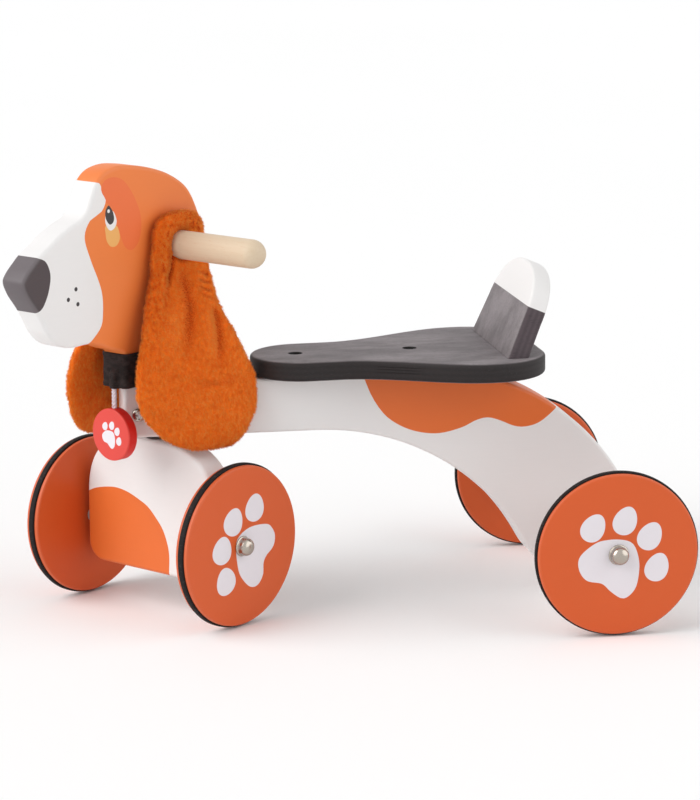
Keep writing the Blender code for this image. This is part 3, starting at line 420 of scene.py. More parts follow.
class Value:
    """A number or a colour in a material; arithmetic on a number adds Math nodes."""

    def __init__(self, recipe: "Recipe", socket: NodeSocket) -> None:
        """Wrap a socket of a recipe."""
        self.recipe, self.socket = recipe, socket

    __add__, __radd__ = arithmetic("ADD"), arithmetic("ADD", True)
    __sub__, __rsub__ = arithmetic("SUBTRACT"), arithmetic("SUBTRACT", True)
    __mul__, __rmul__ = arithmetic("MULTIPLY"), arithmetic("MULTIPLY", True)
    __truediv__ = arithmetic("DIVIDE")

    def __abs__(self) -> "Value":
        """Size without its sign."""
        return self.recipe.math("ABSOLUTE", self)

    def above(self, edge: Any, soft: float) -> "Value":
        """0 well below an edge and 1 well above it, with a smooth step of width 2 soft."""
        return self.recipe.node("MapRange", {"interpolation_type": "SMOOTHSTEP"},
                                {0: self - edge, 1: -soft, 2: soft, 3: 0.0, 4: 1.0})

    def below(self, edge: Any, soft: float) -> "Value":
        """1 well below an edge and 0 well above it."""
        return 1.0 - self.above(edge, soft)


class Recipe:
    """A node material in the making."""

    SOFT = 0.00018
    RING_STEPS = 65
    LINE_STEPS = 49

    def __init__(self, name: str) -> None:
        """Start from a fresh Principled material."""
        self.material = bpy.data.materials.new(name)
        self.material.use_nodes = True
        self.tree = self.material.node_tree
        self.shader = self.tree.nodes["Principled BSDF"]

    def feed(self, socket: NodeSocket, value: Any) -> None:
        """Link a Value to a socket, or set the socket to a number or a colour."""
        value = value.value if isinstance(value, Shade) else value
        if isinstance(value, Value):
            self.tree.links.new(value.socket, socket)
        elif isinstance(value, tuple) and len(socket.default_value) == 4:
            socket.default_value = (*value, 1.0)
        else:
            socket.default_value = value

    def node(self, kind: str, settings: dict[str, Any] | None = None,
             inputs: dict[Any, Any] | None = None, output: int | str = 0) -> Value:
        """Add any node.

        Args:
            kind: its type without the common prefix.
            settings: properties, set first; curve fills a float curve.
            inputs: values or links by socket name or number.
            output: the output that is returned.

        Returns:
            The chosen output.
        """
        item = self.tree.nodes.new("ShaderNode" + kind)
        for name, value in (settings or {}).items():
            if name == "curve":
                line = item.mapping.curves[0]
                for _ in value[2:]:
                    line.points.new(0.5, 0.5)
                for point, (x, y) in zip(line.points, value):
                    point.location, point.handle_type = (x, y), "VECTOR"
                item.mapping.update()
            else:
                setattr(item, name, value)
        for key, value in (inputs or {}).items():
            self.feed(item.inputs[key], value)
        return Value(self, item.outputs[output])

    def math(self, operation: str, *terms: Any) -> Value:
        """A Math node on up to three terms."""
        return self.node("Math", {"operation": operation}, dict(enumerate(terms)))

    def coordinates(self) -> Value:
        """The place in the shared frame, since every piece's object sits at the origin."""
        return self.node("TexCoord", output="Object")

    def woven(self) -> tuple[Value, Value]:
        """The piece's own UV map, in metres along and across the cloth."""
        split = self.node("UVMap", {"uv_map": "weave"})
        return tuple(self.node("SeparateXYZ", None, {0: split}, axis) for axis in (0, 1))

    def mark(self, name: str) -> Value:
        """A point mark of the mesh."""
        return self.node("Attribute", {"attribute_name": name}, output="Fac")

    def own(self, place: Place) -> tuple[Value, Value, Value]:
        """The place in a piece's own axes."""
        here = self.coordinates()

        def along(axis: Triple) -> Value:
            """Distance from the origin along one axis."""
            dot = self.node("VectorMath", {"operation": "DOT_PRODUCT"}, {0: here, 1: axis}, "Value")
            return dot - float(np.dot(place.origin, axis))

        return tuple(along(axis) for axis in (place.x, place.y, place.out))

    def noise(self, scale: Triple | float, detail: float = 2.0, roughness: float = 0.5) -> Value:
        """Soft noise of 0 to 1 with its own scale, per metre, along each axis or all."""
        scale = scale if isinstance(scale, tuple) else (scale,) * 3
        here = self.node("VectorMath", {"operation": "MULTIPLY"}, {0: self.coordinates(), 1: scale})
        return self.texture(here, detail, roughness)

    def texture(self, here: Value, detail: float, roughness: float = 0.5) -> Value:
        """Noise of 0 to 1 at a scaled place."""
        return self.node("TexNoise", None, {"Vector": here, "Scale": 1.0, "Detail": detail,
                                            "Roughness": roughness})

    def mix(self, share: Any, first: Any, second: Any) -> Value:
        """Colour from first at 0 to second at 1."""
        return self.node("Mix", {"data_type": "RGBA"}, {0: share, 6: first, 7: second}, 2)

    def scaled(self, colour: Any, factor: Any) -> Value:
        """A colour times a number."""
        return self.node("VectorMath", {"operation": "SCALE"}, {0: colour, 3: factor})

    def inside(self, x: Value, y: Value, ring: Any, soft: float = SOFT) -> Value:
        """1 inside a closed ring that every ray from its middle meets once, and 0 outside.

        The ring's radius is tabled by angle and compared with the distance from the middle.

        Args:
            x: first coordinate.
            y: second coordinate.
            ring: control points of the ring.
            soft: half width of its border.

        Returns:
            The mask.
        """
        line = smooth_curve(ring, 10, closed=True)
        middle = (line.max(0) + line.min(0)) / 2
        offset = line - middle
        angle, radius = np.arctan2(offset[:, 1], offset[:, 0]), np.hypot(*offset.T)
        grid = np.linspace(0, 1, self.RING_STEPS)
        reach = np.interp((grid - 0.5) * math.tau, angle, radius, period=math.tau)
        most = float(reach.max()) * 1.05
        dx, dy = x - float(middle[0]), y - float(middle[1])
        turn = self.math("ARCTAN2", dy, dx) / math.tau + 0.5
        border = self.tabled(turn, grid, reach / most) * most
        return self.math("SQRT", dx * dx + dy * dy).below(border, soft)

    def wave(self, phase: Value) -> Value:
        """A sine wave between 0 and 1."""
        return self.math("SINE", phase) * 0.5 + 0.5

    def tabled(self, where: Value, places: Array, values: Array) -> Value:
        """A table of 0 to 1 read at a value, straight from one entry to the next."""
        table = list(zip(places.tolist(), values.tolist()))
        return self.node("FloatCurve", {"curve": table}, {0: 1.0, 1: where})

    def line(self, along: Value, knots: Any) -> Value:
        """A smooth line's second coordinate at a place along its first one."""
        run = smooth_curve(sorted(knots), 6)
        low, high = run.min(0) - 1e-6, run.max(0) + 1e-6
        share = (run - low) / (high - low)
        grid = np.linspace(0, 1, self.LINE_STEPS)
        where = self.node("MapRange", None, {0: along, 1: float(low[0]), 2: float(high[0])})
        curve = self.tabled(where, grid, np.interp(grid, share[:, 0], share[:, 1]))
        return curve * float(high[1] - low[1]) + float(low[1])

    def dot(self, x: Value, y: Value, middle: tuple[float, float], radius: float) -> Value:
        """1 inside a round spot."""
        dx, dy = x - middle[0], y - middle[1]
        return self.math("SQRT", dx * dx + dy * dy).below(radius, self.SOFT)

    def either(self, *masks: Value) -> Value:
        """The largest of some masks."""
        whole = masks[0]
        for mask in masks[1:]:
            whole = self.math("MAXIMUM", whole, mask)
        return whole

    def surface(self, colour: Any, roughness: Any, bumps: list[tuple[Value, float]] = (),
                others: dict[str, Any] | None = None) -> None:
        """Feed the shader.

        Args:
            colour: base colour.
            roughness: roughness.
            bumps: pairs of height, 0 to 1, and how many metres that 1 stands for.
            others: further inputs of the shader by name.
        """
        inputs = {"Base Color": colour, "Roughness": roughness, **(others or {})}
        for height, depth in bumps:
            relief = {"Height": height, "Distance": depth, "Strength": 1.0}
            if "Normal" in inputs:
                relief["Normal"] = inputs["Normal"]
            inputs["Normal"] = self.node("Bump", None, relief)
        for name, value in inputs.items():
            self.feed(self.shader.inputs[name], value)


class Shade(Enum):
    """Colours of the toy, as linear light."""

    ORANGE = tone(210, 87, 29)
    HEAD = tone(232, 124, 56)
    PATCH = tone(224, 108, 42)
    BROW = tone(231, 110, 56)
    WHITE = tone(231, 229, 228)
    NOSE = tone(70, 59, 61)
    # Painted highlight: a lighter grey for the nose's front edge, which faces the lamps.
    NOSE_LIT = tone(98, 90, 93)
    # Painted light: a lighter copy of the stained ply edge, for the tail.
    TAIL_EDGE_LIT = tone(77, 67, 71)
    # Painted shade: a darker red for the tag's rim.
    RED_EDGE_SHADE = tone(206, 26, 14)
    # Painted shade: near black for the sunk holes and the screws in them.
    HOLE_SHADE = tone(10, 7, 7)
    INK = tone(52, 48, 50)
    CHEEK = tone(232, 172, 98)
    STAIN = tone(138, 131, 133)
    STAIN_DARK = tone(100, 93, 95)
    BEECH = tone(220, 203, 178)
    BEECH_DARK = tone(204, 179, 148)
    RED = tone(216, 66, 56)
    PRINT = tone(226, 221, 226)
    STAIN_EDGE = tone(34, 29, 29)
    # Darker red plush, used as painted shade in the folds and for the dark tufts.
    PLUSH_DARK = tone(208, 66, 10)
    RUBBER = tone(22, 18, 18)
    NICKEL = tone(176, 168, 158)
    ZINC = tone(184, 186, 190)
    # Painted shade: dark zinc for the washers in the gap under the beam.
    ZINC_SHADE = tone(70, 66, 66)
    NYLON = tone(226, 226, 220)
    PLUSH = tone(255, 138, 42)
    PLUSH_DEEP = tone(255, 112, 24)
    PLUSH_TIP = tone(255, 166, 84)
    COLLAR = tone(26, 19, 18)
    COLLAR_LIGHT = tone(64, 52, 50)
    YARN = tone(250, 246, 248)
    # Painted shade: violet grey between the yarn's threads.
    YARN_SHADE = tone(212, 192, 206)


@dataclass(frozen=True)
class Finish:
    """A named finish that dresses a recipe."""

    name: str

    def dress(self, recipe: Recipe) -> None:
        """Fill the recipe; each finish has its own way."""
        raise NotImplementedError

    def material(self) -> Material:
        """The finished material."""
        recipe = Recipe(self.name)
        self.dress(recipe)
        return recipe.material


def satin(recipe: Recipe, colour: Any, grain: Triple) -> None:
    """Satin paint on sanded wood.

    Its tone drifts by a few per cent, the grain telegraphs through as a faint bump, the sprayed
    film has a fine peel, and the rounded edges are paler: partly a thinner film and partly a
    painted highlight.

    Args:
        recipe: the material in the making.
        colour: the paint's colour over the surface.
        grain: noise scale along each axis, small along the grain.
    """
    drift = recipe.noise(9.0, 3.0)
    streaks = recipe.noise(grain, 5.0, 0.6)
    peel = recipe.noise(1300.0, 1.0)
    # Paler paint on the roundings: partly a thinner film, partly a painted highlight.
    wear = recipe.mark("wear") * (0.6 + 0.8 * recipe.noise(160.0, 3.0))
    tinted = recipe.scaled(colour, 0.955 + drift * 0.06 + streaks * 0.03)
    worn = recipe.mix(wear * 0.03, tinted, Shade.WHITE)
    roughness = 0.42 + streaks * 0.06 + drift * 0.08
    recipe.surface(worn, roughness, [(streaks, 0.00007), (peel, 0.000018)],
                   {SPECULAR: 0.42, "Coat Weight": 0.03, "Coat Roughness": 0.3})


@dataclass(frozen=True)
class BeamPaint(Finish):
    """White beam with an orange saddle patch that reaches down its sides."""

    border: Line = tenths((1700, 2050), (1735, 1956), (1806, 1794),
        (1930, 1630), (2126, 1516), (2357, 1474), (2571, 1516), (2696, 1574), (2803, 1596), (2911, 1566),
        (3038, 1512), (3145, 1503), (3271, 1543), (3422, 1672), (3520, 1790))

    def dress(self, recipe: Recipe) -> None:
        """Everything above the border line is orange."""
        along, up, _ = recipe.own(CHASSIS)
        within = along.above(self.border[0][0], recipe.SOFT) * along.below(self.border[-1][0], recipe.SOFT)
        patch = up.above(recipe.line(along, self.border), recipe.SOFT) * within
        satin(recipe, recipe.mix(patch, Shade.WHITE, Shade.PATCH), (22.0, 500.0, 500.0))


@dataclass(frozen=True)
class BlockPaint(Finish):
    """White front block with a round orange patch low on its front."""

    border: Line = tenths((-760, 925), (-722, 947), (-641, 982), (-505, 1012),
        (-388, 1022), (-255, 1002), (-123, 955), (-25, 909), (72, 821), (152, 724), (207, 580),
        (216, 472), (208, 353), (205, 280), (-290, 240), (-820, 280), (-850, 600))

    def dress(self, recipe: Recipe) -> None:
        """The patch is a ring seen along the block's front."""
        left, up, out = recipe.own(BLOCK_FACE)
        patch = recipe.inside(left, up, self.border) * out.above(0.0, 0.002)
        satin(recipe, recipe.mix(patch, Shade.WHITE, Shade.PATCH), (60.0, 60.0, 500.0))


@dataclass(frozen=True)
class HeadPaint(Finish):
    """Orange head, white snout, dark nose, and a painted eye with its brow on both sides."""

    snout: Line = tenths((2380, 1030), (2462, 930), (2572, 805), (2697, 778),
        (2837, 783), (2957, 822), (3154, 914), (3334, 973), (3463, 906), (3512, 784), (3592, 725),
        (3632, 736), (3682, 771), (3732, 776), (3768, 812), (3785, 900))
    nose: Line = tenths((2700, 1640), (2784, 1518), (2806, 1478), (2840, 1442),
        (2928, 1394), (3038, 1365), (3119, 1374), (3193, 1418), (3230, 1495), (3270, 1560))
    brow: Line = tenths((747, 3759), (641, 3788), (511, 3746), (399, 3613),
        (327, 3466), (313, 3336), (348, 3223), (424, 3165), (506, 3196), (561, 3307), (608, 3428),
        (662, 3549), (718, 3590), (768, 3675))
    eye: Line = tenths((680, 3510), (722, 3500), (733, 3452), (726, 3410),
        (699, 3369), (666, 3354), (625, 3372), (601, 3420), (618, 3478), (645, 3512))
    pupil: Line = tenths((694, 3562), (728, 3520), (727, 3464), (702, 3421),
        (674, 3403), (640, 3420), (630, 3455), (642, 3503), (666, 3540))
    cheek: Line = tenths((731, 3396), (730, 3330), (716, 3268), (669, 3221),
        (604, 3225), (567, 3284), (592, 3374), (655, 3400))
    glint: tuple[float, float] = (0.0692, 0.3516)
    glint_radius: float = 0.0015
    whiskers: Line = tenths((1082, 2924), (1170, 2849), (1063, 2799))
    whisker_radius: float = 0.0018
    snout_top: float = 0.3772
    nose_span: tuple[float, float] = (0.2784, 0.3275)
    neck_span: tuple[float, float] = (0.2025, 0.2285)

    def dress(self, recipe: Recipe) -> None:
        """Lay the paints over each other in the order in which they are sprayed.

        The neck is dark where the collar covers it, so no orange shows through the collar's cut.
        """
        ahead, up, _ = recipe.own(STEERED)

        def between(low: float, high: float) -> Value:
            """1 from one height to another."""
            return up.above(low, recipe.SOFT) * up.below(high, recipe.SOFT)

        flat = recipe.mark("rim").below(0.25, 0.2)
        colour = Shade.HEAD
        for ring, shade in ((self.brow, Shade.BROW), (self.cheek, Shade.CHEEK), (self.eye, Shade.WHITE),
                            (self.pupil, Shade.INK)):
            colour = recipe.mix(recipe.inside(ahead, up, ring) * flat, colour, shade)
        colour = recipe.mix(recipe.dot(ahead, up, self.glint, self.glint_radius) * flat, colour, Shade.WHITE)
        snout = ahead.above(recipe.line(up, self.snout), recipe.SOFT) * up.below(self.snout_top, recipe.SOFT)
        colour = recipe.mix(snout, colour, Shade.WHITE)
        dots = recipe.either(*(recipe.dot(ahead, up, spot, self.whisker_radius) for spot in self.whiskers))
        colour = recipe.mix(dots * flat, colour, Shade.INK)
        nose = ahead.above(recipe.line(up, self.nose), recipe.SOFT) * between(*self.nose_span)
        # Painted highlight: the nose's front edge and its roundings take a lighter grey than its sides.
        nose_with_highlight = recipe.mix(recipe.mark("rim").above(0.5, 0.3), Shade.NOSE, Shade.NOSE_LIT)
        colour = recipe.mix(nose, colour, nose_with_highlight)
        colour = recipe.mix(between(*self.neck_span), colour, Shade.COLLAR)
        satin(recipe, colour, (60.0, 60.0, 420.0))


@dataclass(frozen=True)
class PawPrint:
    """A paw print: one pad and four egg-shaped toes, in metres from the wheel's middle."""

    pad: Line
    toes: tuple[tuple[float, float, float], ...]
    toe_size: tuple[float, float]
    scale: float = 1.0

    def mask(self, recipe: Recipe, x: Value, y: Value) -> Value:
        """1 on the print.  A toe at (cx, cy) leans by its third number, in degrees."""
        x, y = x * (1 / self.scale), y * (1 / self.scale)
        parts = [recipe.inside(x, y, self.pad)]
        wide, high = self.toe_size
        a = turns(12)
        for cx, cy, lean in self.toes:
            egg = columns_of(wide / 2 * np.cos(a) * (1 - 0.16 * np.sin(a)), high / 2 * np.sin(a))
            c, s = math.cos(math.radians(lean)), math.sin(math.radians(lean))
            parts.append(recipe.inside(x, y, egg @ np.array([[c, s], [-s, c]]) + (cx, cy)))
        return recipe.either(*parts)


FRONT_PAW = PawPrint(
    pad=tenths((-305, 131), (-380, 75), (-410, 4), (-385, -80), (-300, -140), (-262, -200), (-254, -297),
        (-189, -372), (-100, -372), (-13, -302), (50, -201), (79, -8), (47, 84), (-97, 143)),
    toes=((-0.0158, 0.0300, 10.0), (0.0107, 0.0226, 25.0), (0.0248, 0.0008, 15.0),
          (0.0207, -0.0262, -15.0)),
    toe_size=(0.0228, 0.0238))
REAR_PAW = PawPrint(
    pad=tenths((20, 127), (105, 100), (151, 32), (178, -98), (158, -264), (100, -350), (30, -372),
        (-63, -309), (-139, -240), (-269, -206), (-335, -110), (-327, 0), (-200, 104), (-90, 130)),
    toes=((-0.0218, 0.0237, -30.0), (0.0053, 0.0286, -22.0), (0.0265, 0.0147, -28.0),
          (0.0330, -0.0120, -20.0)),
    toe_size=(0.0200, 0.0247))
TAG_PAW = replace(REAR_PAW, scale=0.30)


@dataclass(frozen=True)
class PrintedPaint(Finish):
    """Paint with a white paw print on the outer face."""

    place: Place
    paw: PawPrint
    colour: Shade
    face: float
    centre: tuple[float, float] = (0.0, 0.0)
    edge: Shade | None = None

    def dress(self, recipe: Recipe) -> None:
        """The print lies only on the outer face; the edge gets no print, and a given edge colour paints shade
        there.
        """
        x, y, out = recipe.own(self.place)
        paw = self.paw.mask(recipe, x - self.centre[0], y - self.centre[1]) * out.above(self.face, 0.0002)
        # Painted shade: an edge colour, where given, covers the rim and its roundings.
        base = recipe.mix(abs(out).below(self.face - 0.0010, 0.0006), self.colour, self.edge or self.colour)
        satin(recipe, recipe.mix(paw, base, Shade.PRINT), (70.0, 300.0, 300.0))


@dataclass(frozen=True)
class Stain(Finish):
    """Dark stain on plywood: cloudy figure on the faces and plies along the edge."""

    place: Place
    thickness: float
    plies: int = 7
    white_from: float = 1.0
    split: Triple = (0.0, 0.0, 0.0)
    gap_levels: Triple = (0.0032, 0.0010, -0.0016)
    edge: Shade = Shade.STAIN_EDGE
    holes: Line = ()
    hole_radius: float = 0.0062

    def dress(self, recipe: Recipe) -> None:
        """Split opens ply gaps on one edge, the holes get painted shade, and white paint starts at
        white_from.
        """
        x, y, out = recipe.own(self.place)
        cloud = recipe.noise((16.0, 34.0, 34.0), 4.0, 0.62)
        figure = recipe.noise((30.0, 620.0, 620.0), 4.0, 0.6)
        pores = recipe.noise((240.0, 2200.0, 2200.0), 2.0).above(0.62, 0.06)
        rim = recipe.mark("rim")
        ply = recipe.wave(out * (math.tau * self.plies / 2 / self.thickness))
        face = recipe.mix(cloud.above(0.5, 0.22), Shade.STAIN_DARK, Shade.STAIN)
        face = recipe.scaled(face, 0.74 + figure * 0.52)
        edge = recipe.scaled(self.edge, 0.84 + ply * 0.26 + figure * 0.14)
        colour = recipe.mix(rim.above(0.55, 0.3), face, edge)
        colour = recipe.mix(pores * 0.5, colour, Shade.INK)
        height = figure * 0.6 - pores * 0.4
        start, end, side = self.split
        if end > start:
            near = x.above(start, 0.004) * x.below(end, 0.006) * (y * side).above(0.0, 0.001) * rim
            gaps = near * recipe.either(*(abs(out - level).below(0.00035, 0.00015)
                                          for level in self.gap_levels))
            colour = recipe.mix(gaps, colour, tone(16, 6, 6))
            height = height - gaps * 4.0
        # Painted shade: each sunk hole is filled with near black.
        for hole in self.holes:
            colour = recipe.mix(recipe.dot(x, y, hole, self.hole_radius), colour, Shade.HOLE_SHADE)
        white = y.above(self.white_from, recipe.SOFT)
        colour = recipe.mix(white, colour, Shade.WHITE)
        recipe.surface(colour, 0.52 + cloud * 0.16 - white * 0.14, [(height, 0.00008)], {SPECULAR: 0.30})


@dataclass(frozen=True)
class Beech(Finish):
    """Clear-lacquered beech: fine streaks along the dowel and short ray flecks."""

    axis: Place

    def dress(self, recipe: Recipe) -> None:
        """Streaks vary across the dowel and hardly along it; flecks are short and narrow."""
        x, y, out = recipe.own(self.axis)

        def noise(across: float, along: float, detail: float) -> Value:
            """Noise with its own scale, per metre, across and along the dowel."""
            here = recipe.node("CombineXYZ", None, {0: x * across, 1: y * across, 2: out * along})
            return recipe.texture(here, detail)

        streaks, bands = noise(520.0, 16.0, 4.0), noise(90.0, 6.0, 3.0)
        flecks = noise(1500.0, 190.0, 2.0).above(0.66, 0.05)
        colour = recipe.mix(streaks * 0.45 + bands * 0.55, Shade.BEECH_DARK, Shade.BEECH)
        colour = recipe.mix(flecks * 0.30, colour, tone(196, 150, 104))
        recipe.surface(colour, 0.44 + streaks * 0.14, [(streaks, 0.00005), (flecks, -0.00003)])


@dataclass(frozen=True)
class Plush(Finish):
    """Backing of the plush: orange, mottled, with painted shade in its folds and a felted bump."""

    def dress(self, recipe: Recipe) -> None:
        """Tufts are large noise and the knit below them is fine noise."""
        tufts = recipe.noise((230.0, 230.0, 200.0), 4.0, 0.65)
        fine = recipe.noise((1500.0, 1500.0, 1200.0), 2.0)
        colour = recipe.mix(tufts.above(0.5, 0.3), Shade.PLUSH_DEEP, Shade.PLUSH)
        # Painted shade: the folds darken towards the darker red.
        colour = recipe.mix(recipe.mark("hollow") * 0.9, colour, Shade.PLUSH_DARK)
        recipe.surface(colour, 0.95, [(tufts, 0.0008), (fine, 0.0003)], {SPECULAR: 0.1})


@dataclass(frozen=True)
class PileFinish(Finish):
    """Fibres of the plush: deep at the root and pale at the tip, gathered in light and dark tufts."""

    def dress(self, recipe: Recipe) -> None:
        """The marks tip and shade run along each fibre and from fibre to fibre.

        Tufts are noise drawn out down the ear.  Folds, where the fold mark is above 0, get painted
        shade in a deeper red, and ridges, where it is below 0, get a paler painted highlight.
        """
        tip, shade = recipe.mark("tip"), recipe.mark("shade")
        hollow, shag = recipe.mark("hollow"), recipe.mark("shag")
        cloud = recipe.noise((60.0, 60.0, 45.0), 3.0)
        tufts = recipe.noise((430.0, 430.0, 240.0), 2.0, 0.6)
        colour = recipe.mix(tip, Shade.PLUSH_DEEP, Shade.PLUSH)
        colour = recipe.mix(tip * shade * 0.6, colour, Shade.PLUSH_TIP)
        # Painted highlight: ridges, where the fold mark is below 0, turn paler, as do light tufts.
        ridge = recipe.math("MAXIMUM", hollow * -1.0, 0.0) * 0.45
        bright = recipe.either(recipe.math("MINIMUM", ridge, 0.6), tufts.above(0.56, 0.09) * 0.36)
        colour = recipe.mix(bright, colour, Shade.PLUSH_TIP)
        dark = tufts.below(0.46, 0.09) * (shag * 0.40 + 0.42)
        # Painted shade: folds, where the fold mark is above 0, turn deeper red; dark tufts take the same red.
        depth = recipe.math("MAXIMUM", hollow, 0.0) * 0.50
        colour = recipe.mix(recipe.either(dark, depth), colour, Shade.PLUSH_DARK)
        colour = recipe.scaled(colour, 1.14 + cloud * 0.16)
        recipe.surface(colour, 0.9, others={SPECULAR: 0.1, "Sheen Weight": 0.30, "Sheen Roughness": 0.45,
                                            "Sheen Tint": tone(255, 176, 108)})


@dataclass(frozen=True)
class Webbing(Finish):
    """Black ribbed webbing with a hem stitched along both edges."""

    pitch: float = 0.00075
    hem: float = 0.0036
    width: float = 0.0257
    stitch: float = 0.0026

    def dress(self, recipe: Recipe) -> None:
        """Ribs and picks are two sine waves; stitches are dashes along the hems."""
        along, across = recipe.woven()
        ribs = recipe.wave(along * (math.tau / self.pitch))
        picks = recipe.wave(across * (math.tau / self.pitch * 1.4) + ribs * 3.0)
        thread = ribs * picks
        line = recipe.either(*(abs(across - level).below(0.00022, 0.0001)
                               for level in (self.hem, self.width - self.hem)))
        stitch = line * recipe.math("SINE", along * (math.tau / self.stitch)).above(-0.3, 0.2)
        fuzz = recipe.noise(420.0, 4.0, 0.7)
        worn = recipe.noise((150.0, 150.0, 260.0), 3.0, 0.6).above(0.52, 0.16)
        colour = recipe.mix(thread * fuzz * 0.6 + worn * 0.5, Shade.COLLAR, Shade.COLLAR_LIGHT)
        colour = recipe.mix(stitch * 0.6, colour, Shade.COLLAR_LIGHT)
        height = thread * 0.6 + stitch * 0.9 - (line - stitch) * 0.8
        recipe.surface(colour, 0.82 + fuzz * 0.14, [(height, 0.0002)], {SPECULAR: 0.25})


@dataclass(frozen=True)
class Yarn(Finish):
    """Soft white yarn whose fine threads run round each strand at a slant."""

    pitch: float = 0.0011
    threads: int = 5

    def dress(self, recipe: Recipe) -> None:
        """Threads are one sine wave over both directions of the strand."""
        along, round_it = recipe.woven()
        phase = along * (math.tau / self.pitch) + round_it * (math.tau * self.threads)
        threads = recipe.wave(phase)
        fuzz = recipe.noise(1200.0, 3.0)
        # Painted shade: the colour falls to violet grey between the threads, with some random fuzz.
        colour = recipe.mix(threads * 0.6 + fuzz * 0.4, Shade.YARN_SHADE, Shade.YARN)
        recipe.surface(colour, 0.85, [(threads, 0.00016), (fuzz, 0.00008)])


@dataclass(frozen=True)
class Rubber(Finish):
    """Black rubber with a chalky, lightly scuffed tread."""

    def dress(self, recipe: Recipe) -> None:
        """Dust lies in soft clouds, and scuffs are short bright noise."""
        dust = recipe.noise(70.0, 4.0, 0.6)
        scuffs = recipe.noise((320.0, 320.0, 1400.0), 3.0).above(0.64, 0.06)
        grit = recipe.noise(2400.0, 2.0)
        colour = recipe.scaled(Shade.RUBBER, 0.75 + dust * 0.5)
        colour = recipe.mix(scuffs * 0.22, colour, tone(120, 114, 114))
        recipe.surface(colour, 0.66 + dust * 0.2, [(grit, 0.00004), (scuffs, -0.00005)], {SPECULAR: 0.25})


@dataclass(frozen=True)
class Metal(Finish):
    """Plated or plain metal with faint wipe marks, and painted shade in a screw head's recess."""

    colour: Shade
    gloss: float
    brushed: Triple = (300.0, 300.0, 300.0)

    def dress(self, recipe: Recipe) -> None:
        """Wipe marks change the gloss more than the colour."""
        cloud = recipe.noise(110.0, 3.0)
        marks = recipe.noise(self.brushed, 4.0, 0.65)
        colour = recipe.scaled(self.colour, 0.90 + cloud * 0.12 + marks * 0.06)
        # Painted shade: the cross recess of a screw head is darkened nearly to black.
        colour = recipe.mix(recipe.mark("recess") * 0.9, colour, Shade.RUBBER)
        recipe.surface(colour, self.gloss + marks * 0.10 + cloud * 0.06, [(marks, 0.000012)],
                       {"Metallic": 1.0})


@dataclass(frozen=True)
class Nylon(Finish):
    """Natural moulded nylon, faintly uneven."""

    def dress(self, recipe: Recipe) -> None:
        """Flow lines are stretched noise."""
        flow = recipe.noise((120.0, 120.0, 500.0), 3.0)
        colour = recipe.scaled(Shade.NYLON, 0.9 + flow * 0.14)
        recipe.surface(colour, 0.42 + flow * 0.12, [(flow, 0.00003)], {"Subsurface Weight": 0.05})


# Sub-assemblies

